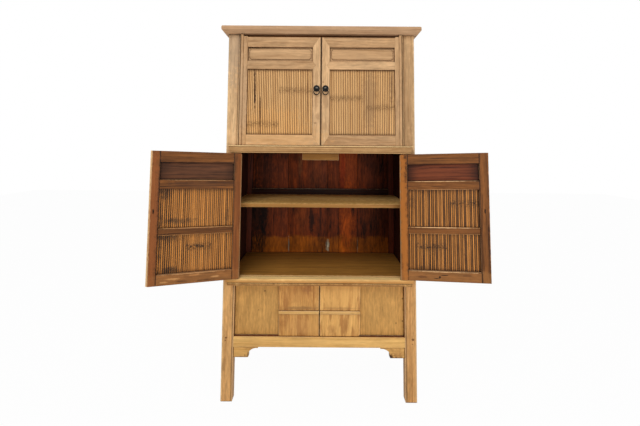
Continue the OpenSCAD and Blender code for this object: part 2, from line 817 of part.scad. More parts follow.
// Outlines of a left door's rails on its front face
function top_rail_front(door) = [
    [-edge_x(panel_top(door), opening_inset), panel_top(door)],
    [-meeting_x, panel_top(door)], [-meeting_x + mitre_w, rails_top(door)],
    [-edge_x(rails_top(door), opening_inset), rails_top(door)]
];
function mid_rail_front(door) = [
    [-edge_x(field_top(door), opening_inset), field_top(door)],
    [-meeting_x, field_top(door)],
    [-meeting_x + point_l, (field_top(door) + panel_foot(door)) / 2],
    [-meeting_x, panel_foot(door)],
    [-edge_x(panel_foot(door), opening_inset), panel_foot(door)]
];
function bottom_rail_front(door) = [
    [-edge_x(foot(door), opening_inset), foot(door)],
    [-meeting_x + mitre_w, foot(door)], [-meeting_x, field_foot(door)],
    [-edge_x(field_foot(door), opening_inset), field_foot(door)]
];
function rail_fronts(door) = [
    top_rail_front(door), mid_rail_front(door), bottom_rail_front(door)
];

module meeting_stile(door, pull_z) color("burlywood") difference() {
    translate([-meeting_x, door_y, foot(door)])
        cube([meeting_stile_w, door_t, rails_top(door) - foot(door)]);
    for (outline = rail_fronts(door)) board(outline, door_y - past, mitre_t + past);
    door_tenon_bars(door);
    panel_tongue(door);
    batten_blank(door);
    translate([-pull_x, door_y, pull_z - eye_drop]) rotate([-90, 0, 0])
        cylinder(r = shank_r + shank_fit, h = door_t);
}

module rails(door) color("burlywood") difference() {
    union() {
        for (outline = rail_fronts(door)) board(outline, door_y, mitre_t);
        for (z = [[foot(door), field_foot(door)], [field_top(door), panel_foot(door)],
                  [panel_top(door), rails_top(door)]])
            board(member(z[0], z[1], opening_inset, -meeting_x),
                  door_y + mitre_t, door_t - mitre_t);
        door_tenon_bars(door);
    }
    panel_tongue(door);
    board(member(field_foot(door) - groove_d, field_top(door) + groove_d,
                 opening_inset, -meeting_x),
          door_y + slat_set - slat_gap, slat_t + slat_gap);
}

// Panel of a left door: a raised field with hollowed corners inside a border
module panel(door) color("burlywood") {
    panel_tongue(door);
    z0 = panel_foot(door) + panel_border;
    z1 = panel_top(door) - panel_border;
    inset = opening_inset + panel_border;
    x1 = -meeting_x - panel_border;
    difference() {
        board(member(z0, z1, inset, x1), door_y + panel_set - panel_raise, panel_raise);
        for (corner = [[-edge_x(z0, inset), z0], [x1, z0], [x1, z1], [-edge_x(z1, inset), z1]])
            translate([corner[0], door_y, corner[1]]) rotate([-90, 0, 0])
                cylinder(r = panel_corner_r, h = panel_set);
    }
}

// Row of half-round strips that turns from the stile's lean to upright across the door
module slats(door) color("peru") {
    z0 = field_foot(door) - groove_d;
    z1 = field_top(door) + groove_d;
    foot_x = -edge_x(z0, opening_inset);
    head_x = -edge_x(z1, opening_inset);
    count = floor((-meeting_x - foot_x) / slat_pitch);
    width = (-meeting_x - head_x) / count - slat_gap;
    crown_r = (width * width / 4 + slat_t * slat_t) / (2 * slat_t);
    for (i = [0:count - 1]) {
        share = (i + 0.5) / count;
        x0 = foot_x + share * (-meeting_x - foot_x);
        x1 = head_x + share * (-meeting_x - head_x);
        lean = atan((x1 - x0) / (z1 - z0));
        translate([x0, door_y + slat_set, z0]) rotate([0, lean, 0])
            linear_extrude((z1 - z0) * cos(lean)) intersection() {
                translate([0, crown_r]) circle(crown_r);
                translate([-width, 0]) square([2 * width, slat_t]);
            }
    }
}

module batten(door) color("saddlebrown") batten_blank(door);

// Ring pull parts: x runs across the door, y upwards and z out of its front face
eye_z = plate_rim + plate_dome + ring_fit + ring_wire;
module at_pull(z) {
    translate([-pull_x, door_y, z]) rotate([90, 0, 0]) children();
}

module plate(z) color("dimgray") {
    dome_r = (plate_r * plate_r + plate_dome * plate_dome) / (2 * plate_dome);
    at_pull(z) {
        intersection() {
            cylinder(r = plate_r, h = plate_rim + plate_dome);
            translate([0, 0, plate_rim + plate_dome - dome_r]) sphere(dome_r, $fn = 96);
        }
        translate([0, -eye_drop, eye_z]) rotate([0, 90, 0])
            rotate_extrude() translate([ring_wire + ring_fit + staple_wire, 0])
                circle(staple_wire);
        translate([0, -eye_drop, -door_t - 2 * staple_wire])
            cylinder(r = shank_r, h = door_t + 2 * staple_wire + plate_rim);
        for (way = [-1, 1])
            translate([0, -eye_drop, -door_t - staple_wire - ring_fit / 2])
                rotate([90 * way, 0, 0]) cylinder(r = staple_wire, h = staple_end);
    }
}

module ring(z) color("dimgray") at_pull(z)
    translate([0, -eye_drop - ring_r + ring_wire, eye_z])
        rotate_extrude() translate([ring_r - ring_wire, 0]) circle(ring_wire);

// Left sliding panel, its top edge low enough in the upper groove to be lifted out
module slider() {
    z0 = bottom_rail_top - groove_d + slider_fit;
    z1 = base_rail_z + slider_lift - groove_d;
    translate([slider_x, slider_y, z0]) cube([slider_w, slider_t, z1 - z0]);
}

module grip() {
    translate([slider_x, slider_y - grip_t, bottom_rail_top + grip_z - grip_h / 2])
        cube([slider_w, grip_t, grip_h]);
}

// Turns a closed left door about its leaning pivots
module hang(angle) {
    translate([-edge_x(0, pivot_inset), pivot_y, 0]) rotate([0, splay, 0])
        rotate([0, 0, -angle]) rotate([0, -splay, 0])
            translate([edge_x(0, pivot_inset), -pivot_y, 0]) children();
}

module on_upper_left() children();
module on_upper_right() mirror([1, 0, 0]) children();
module on_lower_left() hang(left_open) children();
module on_lower_right() mirror([1, 0, 0]) hang(right_open) children();

module upper_left_hinge_stile() on_upper_left() hinge_stile(upper_door);
module upper_left_meeting_stile() on_upper_left() meeting_stile(upper_door, upper_pull_z);
module upper_left_rails() on_upper_left() rails(upper_door);
module upper_left_panel() on_upper_left() panel(upper_door);
module upper_left_slats() on_upper_left() slats(upper_door);
module upper_left_batten() on_upper_left() batten(upper_door);
module upper_left_plate() on_upper_left() plate(upper_pull_z);
module upper_left_ring() on_upper_left() ring(upper_pull_z);

module upper_right_hinge_stile() on_upper_right() hinge_stile(upper_door);
module upper_right_meeting_stile() on_upper_right() meeting_stile(upper_door, upper_pull_z);
module upper_right_rails() on_upper_right() rails(upper_door);
module upper_right_panel() on_upper_right() panel(upper_door);
module upper_right_slats() on_upper_right() slats(upper_door);
module upper_right_batten() on_upper_right() batten(upper_door);
module upper_right_plate() on_upper_right() plate(upper_pull_z);
module upper_right_ring() on_upper_right() ring(upper_pull_z);

module lower_left_hinge_stile() on_lower_left() hinge_stile(lower_door);
module lower_left_meeting_stile() on_lower_left() meeting_stile(lower_door, lower_pull_z);
module lower_left_rails() on_lower_left() rails(lower_door);
module lower_left_panel() on_lower_left() panel(lower_door);
module lower_left_slats() on_lower_left() slats(lower_door);
module lower_left_batten() on_lower_left() batten(lower_door);
module lower_left_plate() on_lower_left() plate(lower_pull_z);
module lower_left_ring() on_lower_left() ring(lower_pull_z);

module lower_right_hinge_stile() on_lower_right() hinge_stile(lower_door);
module lower_right_meeting_stile() on_lower_right() meeting_stile(lower_door, lower_pull_z);
module lower_right_rails() on_lower_right() rails(lower_door);
module lower_right_panel() on_lower_right() panel(lower_door);
module lower_right_slats() on_lower_right() slats(lower_door);
module lower_right_batten() on_lower_right() batten(lower_door);
module lower_right_plate() on_lower_right() plate(lower_pull_z);
module lower_right_ring() on_lower_right() ring(lower_pull_z);

module left_sliding_panel() color("burlywood") slider();
module right_sliding_panel() color("burlywood") mirror([1, 0, 0]) slider();
module left_slider_grip() color("wheat") grip();
module right_slider_grip() color("wheat") mirror([1, 0, 0]) grip();

post_front_left();
post_front_right();
post_rear_left();
post_rear_right();
cap_frame();
cap_panel();
top_rail();
middle_rail();
base_rail();
bottom_rail();
side_rails();
rear_rails();
side_panels();
back_boards();
upper_floor();
middle_floor();
base_floor();
upper_shelf();
middle_shelf();
cleats();
fixed_base_panels();
stop_block();
brackets();
upper_left_hinge_stile();
upper_left_meeting_stile();
upper_left_rails();
upper_left_panel();
upper_left_slats();
upper_left_batten();
upper_right_hinge_stile();
upper_right_meeting_stile();
upper_right_rails();
upper_right_panel();
upper_right_slats();
upper_right_batten();
lower_left_hinge_stile();
lower_left_meeting_stile();
lower_left_rails();
lower_left_panel();
lower_left_slats();
lower_left_batten();
lower_right_hinge_stile();
lower_right_meeting_stile();
lower_right_rails();
lower_right_panel();
lower_right_slats();
lower_right_batten();
upper_left_plate();
upper_right_plate();
lower_left_plate();
lower_right_plate();
upper_left_ring();
upper_right_ring();
lower_left_ring();
lower_right_ring();
left_sliding_panel();
left_slider_grip();
right_sliding_panel();
right_slider_grip();
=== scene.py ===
"""Looks of the tall cabinet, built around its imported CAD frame. Lengths are in metres."""
import json
import math
import random

import bmesh
import bpy
from mathutils import Matrix, Vector, noise

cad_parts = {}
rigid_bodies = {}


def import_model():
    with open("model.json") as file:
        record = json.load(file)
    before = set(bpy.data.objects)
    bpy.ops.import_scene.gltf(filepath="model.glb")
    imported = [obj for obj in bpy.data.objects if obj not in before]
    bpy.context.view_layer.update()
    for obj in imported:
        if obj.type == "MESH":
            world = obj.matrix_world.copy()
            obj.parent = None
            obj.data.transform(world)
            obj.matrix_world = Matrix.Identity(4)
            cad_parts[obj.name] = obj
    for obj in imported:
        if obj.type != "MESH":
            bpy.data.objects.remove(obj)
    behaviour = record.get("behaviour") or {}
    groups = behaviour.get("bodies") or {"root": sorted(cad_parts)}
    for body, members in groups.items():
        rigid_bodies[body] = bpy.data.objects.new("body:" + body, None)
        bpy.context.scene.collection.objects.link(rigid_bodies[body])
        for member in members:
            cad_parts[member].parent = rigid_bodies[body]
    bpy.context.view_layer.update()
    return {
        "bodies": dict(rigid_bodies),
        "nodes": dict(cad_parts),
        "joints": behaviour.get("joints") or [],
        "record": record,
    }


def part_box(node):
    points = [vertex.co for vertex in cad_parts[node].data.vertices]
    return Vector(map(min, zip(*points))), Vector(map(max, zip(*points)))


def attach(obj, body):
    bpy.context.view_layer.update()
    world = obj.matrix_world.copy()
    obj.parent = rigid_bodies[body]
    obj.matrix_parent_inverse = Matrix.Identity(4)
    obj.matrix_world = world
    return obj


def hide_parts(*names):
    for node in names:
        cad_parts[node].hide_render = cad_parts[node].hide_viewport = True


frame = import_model()
NODES = frame["nodes"]
BODY = {n: body for body, members in frame["record"]["behaviour"]["bodies"].items()
        for n in members}
JOINTS = {joint["child"]: joint for joint in frame["joints"]}
# Lean of the posts, and half the cabinet's width at the floor
SPLAY = math.radians(0.95)
FOOT_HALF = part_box("post_front_right")[1].x


# Frames of the doors

def closed_to_rest(body):
    """Matrix from a door's closed place to its place at rest, for it and its ring."""
    if body.endswith("_ring"):
        body = body.replace("_ring", "_door")
    if not body.endswith("_door"):
        return Matrix.Identity(4)
    joint = JOINTS[body]
    pivot = Vector(joint["pos_m"])
    turn = Matrix.Rotation(-math.radians(joint["range_deg"][0]), 4, Vector(joint["axis"]))
    return Matrix.Translation(pivot) @ turn @ Matrix.Translation(-pivot)


TO_REST = {body: closed_to_rest(body) for body in frame["bodies"]}
TO_HOME = {body: matrix.inverted() for body, matrix in TO_REST.items()}


# Materials

def linear(rgb):
    """Linear colour with alpha of an sRGB colour given in steps of 255."""
    return (*[((c / 255 + 0.055) / 1.055) ** 2.4 if c > 10 else c / 3295 for c in rgb], 1.0)


class Shader:
    """Node tree of one material, with a short call for each kind of node."""

    def __init__(self, name, roughness, gloss):
        self.material = bpy.data.materials.new(name)
        self.material.use_nodes = True
        self.tree = self.material.node_tree
        self.bsdf = self.tree.nodes["Principled BSDF"]
        self.bsdf.inputs["Roughness"].default_value = roughness
        self.bsdf.inputs["Specular IOR Level"].default_value = gloss

    def node(self, kind, sockets, **settings):
        """New node with its settings, and sockets linked or set."""
        made = self.tree.nodes.new("ShaderNode" + kind)
        for key, value in settings.items():
            setattr(made, key, value)
        for key, value in sockets.items():
            if isinstance(value, bpy.types.NodeSocket):
                self.tree.links.new(value, made.inputs[key])
            else:
                made.inputs[key].default_value = value
        return made

    def attribute(self, name, output="Vector"):
        return self.node("Attribute", {}, attribute_name=name).outputs[output]

    def math(self, operation, *values, clamp=False):
        return self.node("Math", dict(enumerate(values)), operation=operation,
                         use_clamp=clamp).outputs[0]

    def vector(self, operation, *values):
        made = self.node("VectorMath", dict(enumerate(values)), operation=operation)
        return made.outputs["Value" if operation == "LENGTH" else "Vector"]

    def split(self, vector):
        return self.node("SeparateXYZ", {0: vector}).outputs

    def noise(self, vector, scale, detail=3.0, roughness=0.55, distortion=0.0):
        """Noise of a vector that is first stretched by a scale for each axis."""
        return self.node("TexNoise", {"Vector": self.vector("MULTIPLY", vector, scale),
                                      "Scale": 1.0, "Detail": detail, "Roughness": roughness,
                                      "Distortion": distortion}).outputs["Fac"]

    def ramp(self, value, low, high, to_low=0.0, to_high=1.0):
        """Smooth step of a value from one range to another."""
        return self.node("MapRange", {"Value": value, "From Min": low, "From Max": high,
                                      "To Min": to_low, "To Max": to_high},
                         interpolation_type="SMOOTHSTEP").outputs[0]

    def mix(self, factor, a, b, blend="MIX"):
        made = self.node("Mix", {0: factor, 6: a, 7: b}, data_type="RGBA", blend_type=blend)
        return made.outputs[2]

    def bump(self, height, distance):
        made = self.node("Bump", {"Height": height, "Distance": distance, "Strength": 1.0})
        self.tree.links.new(made.outputs[0], self.bsdf.inputs["Normal"])

    def finish(self, colour, roughness=None):
        self.tree.links.new(colour, self.bsdf.inputs["Base Color"])
        if roughness is not None:
            self.tree.links.new(roughness, self.bsdf.inputs["Roughness"])
        return self.material


def wood_colour(s, grain, tone, dark, light, figure=0.5, rings=0.12, streak=0.16):
    """Colour of one kind of wood on the stretched grain vector of a member."""
    sway = s.noise(grain, (2.0, 9.0, 9.0), detail=2.0)
    swayed = s.vector("ADD", grain, s.vector("MULTIPLY", s.vector(
        "SUBTRACT", s.node("CombineXYZ", {1: sway, 2: sway}).outputs[0], (0.0, 0.5, 0.5)),
        (0.0, 0.03, 0.02)))
    bands = s.noise(swayed, (2.2, 60.0, 60.0), detail=5.0, roughness=0.65)
    wave = s.node("TexWave", {"Vector": s.vector("MULTIPLY", swayed, (0.12, 1.0, 1.0)),
                              "Scale": 26.0, "Distortion": 3.0, "Detail": 2.0,
                              "Detail Scale": 1.2}, wave_type="RINGS",
                  rings_direction="X").outputs["Fac"]
    fine = s.noise(swayed, (9.0, 520.0, 520.0), detail=2.0)
    pores = s.ramp(s.noise(swayed, (3.5, 150.0, 150.0), detail=3.0), 0.54, 0.70)
    value = s.math("ADD", s.math("MULTIPLY", s.math("SUBTRACT", bands, 0.5), 2.4 * figure),
                   s.math("MULTIPLY", s.math("SUBTRACT", wave, 0.5), rings))
    value = s.math("ADD", value, s.math("MULTIPLY", s.math("SUBTRACT", fine, 0.5), streak * 2))
    value = s.math("ADD", value, s.math("MULTIPLY", s.math("SUBTRACT", tone, 0.5), 0.4))
    value = s.math("SUBTRACT", value, s.math("MULTIPLY", pores, 0.7 * figure))
    value = s.math("ADD", value, 0.56, clamp=True)
    return s.mix(value, linear(dark), linear(light)), fine


def leaning_inset(s, home):
    """Distance inwards from the outer face of the leaning posts."""
    x, _, z = s.split(home)
    return s.math("SUBTRACT", s.math("SUBTRACT", FOOT_HALF, s.math(
        "MULTIPLY", z, math.tan(SPLAY))), s.math("ABSOLUTE", x))


def add_marks(s, colour, home, marks):
    """Knots, stains, painted highlights and painted shade: each has a centre, three radii, a
    colour and a strength.
    """
    ragged = s.noise(home, (60.0, 60.0, 60.0), detail=3.0)
    for centre, radii, tint, strength in marks:
        away = s.vector("LENGTH", s.vector("DIVIDE", s.vector("SUBTRACT", home, centre), radii))
        away = s.math("ADD", away, s.math("MULTIPLY", s.math("SUBTRACT", ragged, 0.5), 1.3))
        cover = s.ramp(away, 0.35, 1.0, strength, 0.0)
        colour = s.mix(cover, colour, linear(tint))
    return colour


def add_crevice_dirt_and_shade(s, colour, home, reach, strength, tint, spare=None):
    """Old dirt and painted shade in corners and open joints, found by how shut in a point is.

    To spare a groove, its inset from the posts' outer face and its half width are given."""
    shut = s.node("AmbientOcclusion", {"Distance": reach}, samples=6).outputs["AO"]
    cover = s.ramp(shut, 0.50, 0.92, strength, 0.0)
    if spare:
        away = s.math("ABSOLUTE", s.math("SUBTRACT", leaning_inset(s, home), spare[0]))
        cover = s.math("MULTIPLY", cover, s.ramp(away, 0.6 * spare[1], spare[1], 0.3, 1.0))
    return s.mix(cover, colour, s.mix(1.0, colour, linear(tint), "MULTIPLY"))


def add_band(s, colour, home, band):
    """Tint below a height, up to a ragged edge: band is height, colour and strength."""
    top, tint, strength = band
    wander = s.math("SUBTRACT", s.noise(home, (14.0, 14.0, 30.0), detail=4.0), 0.5)
    level = s.math("ADD", s.split(home)[2], s.math("MULTIPLY", wander, 0.06))
    return s.mix(s.ramp(level, top - 0.010, top + 0.012, strength, 0.0), colour, linear(tint))


def add_stripes(s, colour, home, stripes, cover):
    """Upright stripes: each has a place, its half width, a colour and a strength.

    A place is an inset from the posts' outer face, or if below zero a distance from the
    cabinet's middle."""
    inset, across = leaning_inset(s, home), s.math("ABSOLUTE", s.split(home)[0])
    for place, half, tint, strength in stripes:
        away = s.math("ABSOLUTE", s.math("SUBTRACT", inset if place > 0 else across,
                                         abs(place)))
        amount = s.ramp(away, 0.4 * half, half, strength, 0.0)
        colour = s.mix(s.math("MULTIPLY", amount, cover), colour, linear(tint))
    return colour


# What lies within all of these is inside the carcass
INSIDE_INSET = 0.0245
INSIDE_Y = (-0.2068, 0.185)
INSIDE_Z = (0.30, 1.80)


def inside_mask(s, home):
    """1 on the faces of the carcass that look into a compartment."""
    _, y, z = s.split(home)
    inset = leaning_inset(s, home)
    walls = [s.math("GREATER_THAN", inset, INSIDE_INSET),
             s.math("GREATER_THAN", y, INSIDE_Y[0]), s.math("LESS_THAN", y, INSIDE_Y[1]),
             s.math("GREATER_THAN", z, INSIDE_Z[0]), s.math("LESS_THAN", z, INSIDE_Z[1])]
    mask = walls[0]
    for wall in walls[1:]:
        mask = s.math("MULTIPLY", mask, wall)
    return mask


def add_warmth(s, colour, home, warm):
    """Tint that comes in by height: warm is where it starts, where it is full and the tint."""
    start, full, tint = warm
    cover = s.ramp(s.split(home)[2], start, full)
    return s.mix(cover, colour, s.mix(1.0, colour, linear(tint), "MULTIPLY"))


def add_patches(s, colour, grain, patches):
    """Soft patches along the grain: their tint, how rare they are and their strength."""
    tint, start, amount = patches
    cover = s.ramp(s.noise(grain, (7.0, 44.0, 44.0), detail=5.0, roughness=0.65),
                   start, start + 0.16, 0.0, amount)
    return s.mix(cover, colour, linear(tint))


# Only what lies before the one and above the other is on the front of an upper door
DOOR_FRONT_Y = -0.224
UPPER_DOORS_Z = 1.235


def add_meeting_shade(s, colour, home, tint):
    """Painted shade: a dark line where the two upper doors meet, on their fronts alone."""
    x, y, z = s.split(home)
    front = s.math("MULTIPLY", s.math("LESS_THAN", y, DOOR_FRONT_Y),
                   s.math("GREATER_THAN", z, UPPER_DOORS_Z))
    dark = s.ramp(s.math("ABSOLUTE", x), 0.0025, 0.0050, 0.85, 0.0)
    return s.mix(s.math("MULTIPLY", front, dark), colour, linear(tint))


# Tints of old dirt and painted shade in corners, of grime along the edges and of a panel's
# shaded ends
CORNER_DIRT_AND_SHADE = (74, 48, 32)
EDGE_GRIME = (160, 122, 92)
END_SHADE = (22, 13, 9)


def wood(name, outer, inner=None, inner_by="home", marks=(), grime=0.35, reach=0.005,
         worn=0.5, rub_and_highlight=(232, 198, 150), warm=None, patches=None, figure=0.45, rings=0.10,
         inner_figure=0.6, mottle=0.25, band=None, end_shade=0.0, crevice_dirt_and_shade=(0.0045, 0.95),
         stripes=(), inner_stripes=(), inner_marks=(), cloudy=(0.90, 1.08), spare=None,
         meeting=None):
    """Old scrubbed wood outside, and another finish on the faces that look inwards.

    Outer and inner are each a dark and a light colour. Inner_by names the attribute of the
    faces that look inwards, or is home for those inside the carcass; where it names up, the
    second finish paints light on the faces that look up. Figure, rings, mottle and cloudy are
    how much the wood varies. Grime and reach are the dirt along its edges, worn and
    rub_and_highlight the wear on them and a painted highlight along them,
    crevice_dirt_and_shade and spare the dirt and painted shade in its corners, and meeting
    the painted shade where the two upper doors meet."""
    s = Shader(name, 0.62, 0.17)
    rim, size = s.attribute("rim"), s.attribute("size")
    seed, home = s.attribute("seed"), s.attribute("home")
    grain = s.vector("ADD", rim, s.vector("MULTIPLY", seed, (5.0, 5.0, 5.0)))
    tone = s.split(seed)[0]
    away = s.vector("SUBTRACT", size, s.vector("ABSOLUTE", rim))
    ends, edges, _ = s.split(away)
    colour, fine = wood_colour(s, grain, tone, *outer, figure=figure, rings=rings)
    if warm:
        colour = add_warmth(s, colour, home, warm)
    if patches:
        colour = add_patches(s, colour, grain, patches)
    if stripes:
        colour = add_stripes(s, colour, home, stripes, 1.0)
    if meeting:
        colour = add_meeting_shade(s, colour, home, meeting)
    if inner:
        inner_colour, _ = wood_colour(s, grain, tone, *inner, figure=inner_figure, rings=0.1)
        scuffed = s.ramp(s.noise(grain, (7.0, 40.0, 40.0), detail=4.0), 0.56, 0.74, 0.0, 0.5)
        inner_colour = s.mix(scuffed, inner_colour, linear(inner[1]))
        if band:
            inner_colour = add_band(s, inner_colour, home, band)
        if end_shade:
            inner_colour = s.mix(s.ramp(ends, 0.0, 0.07, end_shade, 0.0), inner_colour,
                                 linear(END_SHADE))
        inner_colour = add_marks(s, inner_colour, home, inner_marks)
        mask = inside_mask(s, home) if inner_by == "home" else s.attribute(inner_by, "Fac")
        colour = s.mix(mask, colour, inner_colour)
        colour = add_stripes(s, colour, home, inner_stripes, mask)
    cloud = s.noise(home, (4.0, 4.0, 3.0), detail=3.0, roughness=0.6)
    blotch = s.math("ADD", s.noise(grain, (9.0, 38.0, 38.0), detail=4.0, roughness=0.6),
                    s.noise(grain, (30.0, 130.0, 130.0), detail=3.0, roughness=0.6))
    shade = s.math("ADD", s.ramp(cloud, 0.25, 0.75, *cloudy),
                   s.math("MULTIPLY", s.math("SUBTRACT", blotch, 1.0), 1.5 * mottle))
    colour = s.mix(1.0, colour, s.node("CombineColor", {0: shade, 1: shade, 2: shade})
                   .outputs[0], "MULTIPLY")
    near = s.math("MINIMUM", ends, edges)
    ragged = s.noise(home, (35.0, 35.0, 35.0), detail=3.0)
    width = s.ramp(ragged, 0.3, 0.75, 0.2 * reach, 1.6 * reach)
    dirt = s.math("MULTIPLY", s.math("SUBTRACT", 1.0, s.math(
        "DIVIDE", near, width), clamp=True), grime)
    colour = s.mix(dirt, colour, s.mix(1.0, colour, linear(EDGE_GRIME), "MULTIPLY"))
    # Rounded edges are paler: wear, and a painted highlight along them
    rubbed = s.math("MULTIPLY", s.attribute("edge", "Fac"),
                    s.ramp(ragged, 0.35, 0.6, 0.3 * worn, worn))
    colour = s.mix(rubbed, colour, linear(rub_and_highlight))
    colour = add_marks(s, colour, home, marks)
    colour = add_crevice_dirt_and_shade(s, colour, home, *crevice_dirt_and_shade, CORNER_DIRT_AND_SHADE, spare)
    s.bump(fine, 0.0004)
    return s.finish(colour)


# Dark and light colour of each finish that is used by name
OUTER = ((154, 112, 70), (230, 190, 142))
POST = ((160, 116, 72), (240, 200, 150))
WARM = ((184, 132, 66), (246, 198, 122))
LACQUER = ((40, 13, 8), (136, 58, 26))
DARK_LACQUER = ((18, 8, 5), (66, 28, 14))
DOOR = ((150, 108, 68), (224, 183, 136))
BROWN = ((50, 28, 15), (154, 95, 45))
PALE_BAMBOO = ((184, 134, 78), (248, 200, 138))
# The carcass is warmer towards the floor, as add_warmth takes it
WARM_FOOT = (1.15, 0.45, (255, 238, 206))

# Stripes, as add_stripes takes them: painted highlights on a post's outer edge and bead and
# painted shade in its quirk, and the dark inner joints beside the doors' stiles
POST_HIGHLIGHTS_AND_SHADE = (
    (0.0020, 0.0070, (250, 214, 160), 0.45),
    (0.0510, 0.0060, (150, 108, 66), 0.55),
    (0.0560, 0.0030, (244, 204, 150), 0.50),
)
SHOULDERS = (
    (-0.0415, 0.0036, (30, 16, 9), 0.85),
    (0.0977, 0.0036, (30, 16, 9), 0.85),
)
# Knots, stains and cracks, and painted highlights and painted shade on edges and mouldings, as
# add_marks takes them
DOOR_MARKS_AND_HIGHLIGHTS = (
    ((0.388, -0.208, 0.900), (0.024, 0.010, 0.600), (186, 112, 44), 0.70),
    ((-0.388, -0.208, 0.900), (0.024, 0.010, 0.600), (150, 84, 40), 0.45),
    ((-0.200, -0.236, 1.300), (0.300, 0.010, 0.080), (222, 164, 98), 0.35),
    ((-0.388, -0.236, 1.500), (0.050, 0.010, 0.300), (226, 188, 146), 0.35),
    ((-0.0042, -0.2110, 0.900), (0.0082, 0.020, 3.000), (242, 202, 148), 0.90),
    ((-0.020, -0.208, 0.900), (0.030, 0.010, 0.600), (158, 90, 46), 0.60),
    ((-0.110, -0.208, 0.636), (0.034, 0.006, 0.0060), (204, 148, 90), 0.75),
    ((-0.075, -0.208, 0.624), (0.020, 0.006, 0.0050), (204, 148, 90), 0.65),
    ((-0.205, -0.208, 0.647), (0.050, 0.006, 0.0050), (196, 134, 78), 0.7),
    ((-0.295, -0.208, 0.632), (0.026, 0.006, 0.0060), (208, 154, 98), 0.65),
    ((-0.250, -0.208, 0.620), (0.050, 0.006, 0.0050), (92, 56, 30), 0.7),
    ((-0.150, -0.208, 0.622), (0.030, 0.006, 0.0060), (84, 50, 28), 0.7),
    ((0.110, -0.208, 0.642), (0.034, 0.006, 0.0060), (98, 60, 32), 0.6),
    ((0.310, -0.208, 0.630), (0.034, 0.006, 0.0090), (94, 56, 30), 0.6),
    ((-0.0275, -0.236, 1.363), (0.010, 0.01, 0.007), (112, 72, 40), 0.5),
    ((0.0105, -0.236, 1.5615), (0.006, 0.01, 0.005), (140, 88, 50), 0.6),
    ((-0.0240, -0.236, 1.470), (0.014, 0.01, 0.055), (172, 132, 92), 0.50),
    ((-0.0140, -0.236, 1.395), (0.016, 0.01, 0.022), (160, 120, 82), 0.50),
    ((-0.0220, -0.236, 1.590), (0.014, 0.01, 0.035), (176, 138, 98), 0.45),
    ((0.0230, -0.236, 1.480), (0.018, 0.01, 0.070), (166, 128, 90), 0.50),
    ((0.0180, -0.236, 1.350), (0.016, 0.01, 0.030), (172, 134, 94), 0.40),
    ((-0.215, -0.208, 1.0640), (0.190, 0.01, 0.024), (78, 48, 30), 0.55),
    # Painted highlights along the top edges of the lower doors' rails, on their inner side
    ((-0.213, -0.208, 1.0835), (0.175, 0.005, 0.0024), (196, 146, 94), 0.7),
    ((0.213, -0.208, 1.0835), (0.175, 0.005, 0.0028), (232, 184, 130), 0.95),
    ((0.213, -0.208, 1.0445), (0.175, 0.005, 0.0024), (206, 150, 96), 0.7),
    ((-0.213, -0.208, 0.6560), (0.185, 0.005, 0.0028), (206, 156, 104), 0.8),
    ((0.213, -0.208, 0.6560), (0.185, 0.005, 0.0030), (232, 184, 130), 0.95),
    ((0.244, -0.208, 0.6240), (0.016, 0.005, 0.0028), (26, 14, 8), 0.95),
    ((0.229, -0.208, 0.6310), (0.006, 0.005, 0.0090), (26, 14, 8), 0.95),
    ((0.208, -0.208, 0.6400), (0.022, 0.005, 0.0028), (26, 14, 8), 0.95),
)
# Painted highlights along the top edges of the lower doors' battens
BATTEN_HIGHLIGHTS = (
    ((-0.213, -0.2125, 0.8640), (0.185, 0.006, 0.0030), (196, 142, 90), 0.8),
    ((0.213, -0.2125, 0.8640), (0.185, 0.006, 0.0034), (232, 184, 130), 0.95),
)
# Two broad patches that darken the upper posts, then dark spots and a smudge low on the legs
POST_MARKS = (
    ((-0.4330, -0.22, 1.760), (0.080, 0.05, 0.280), (138, 124, 110), 0.45),
    ((0.4250, -0.22, 1.520), (0.070, 0.05, 0.420), (146, 112, 76), 0.40),
    ((-0.4558, -0.22, 0.312), (0.008, 0.02, 0.006), (96, 58, 30), 0.85),
    ((-0.4590, -0.22, 0.298), (0.006, 0.02, 0.005), (104, 64, 34), 0.7),
    ((0.4589, -0.22, 0.308), (0.009, 0.02, 0.007), (96, 58, 30), 0.85),
    ((0.4560, -0.22, 0.286), (0.005, 0.02, 0.005), (110, 70, 38), 0.7),
    ((-0.4650, -0.22, 0.185), (0.012, 0.02, 0.050), (128, 92, 56), 0.45),
)
SLIDER_STAINS = (
    ((0.100, -0.213, 0.530), (0.130, 0.02, 0.090), (222, 168, 96), 0.55),
    ((-0.105, -0.213, 0.530), (0.110, 0.02, 0.075), (170, 114, 62), 0.35),
    ((-0.060, -0.213, 0.550), (0.030, 0.02, 0.030), (150, 96, 56), 0.55),
    ((-0.090, -0.213, 0.455), (0.110, 0.02, 0.012), (128, 92, 58), 0.55),
    ((0.100, -0.213, 0.455), (0.110, 0.02, 0.010), (150, 108, 66), 0.40),
    ((-0.100, -0.213, 0.370), (0.090, 0.02, 0.060), (214, 158, 94), 0.35),
    ((0.060, -0.213, 0.350), (0.030, 0.02, 0.040), (170, 116, 66), 0.35),
)
FIXED_MARKS = (
    ((-0.2696, -0.20, 0.5337), (0.006, 0.02, 0.005), (96, 66, 36), 0.8),
    ((-0.3000, -0.20, 0.4395), (0.004, 0.02, 0.004), (104, 74, 42), 0.7),
    ((0.4098, -0.20, 0.5001), (0.005, 0.02, 0.005), (80, 52, 28), 0.8),
    ((0.4110, -0.20, 0.3894), (0.005, 0.02, 0.005), (80, 52, 28), 0.8),
    ((0.3796, -0.20, 0.3788), (0.004, 0.02, 0.004), (92, 62, 34), 0.7),
)
GRIP_MARKS = (
    ((0.100, -0.22, 0.450), (0.130, 0.05, 0.050), (236, 190, 124), 0.45),
)
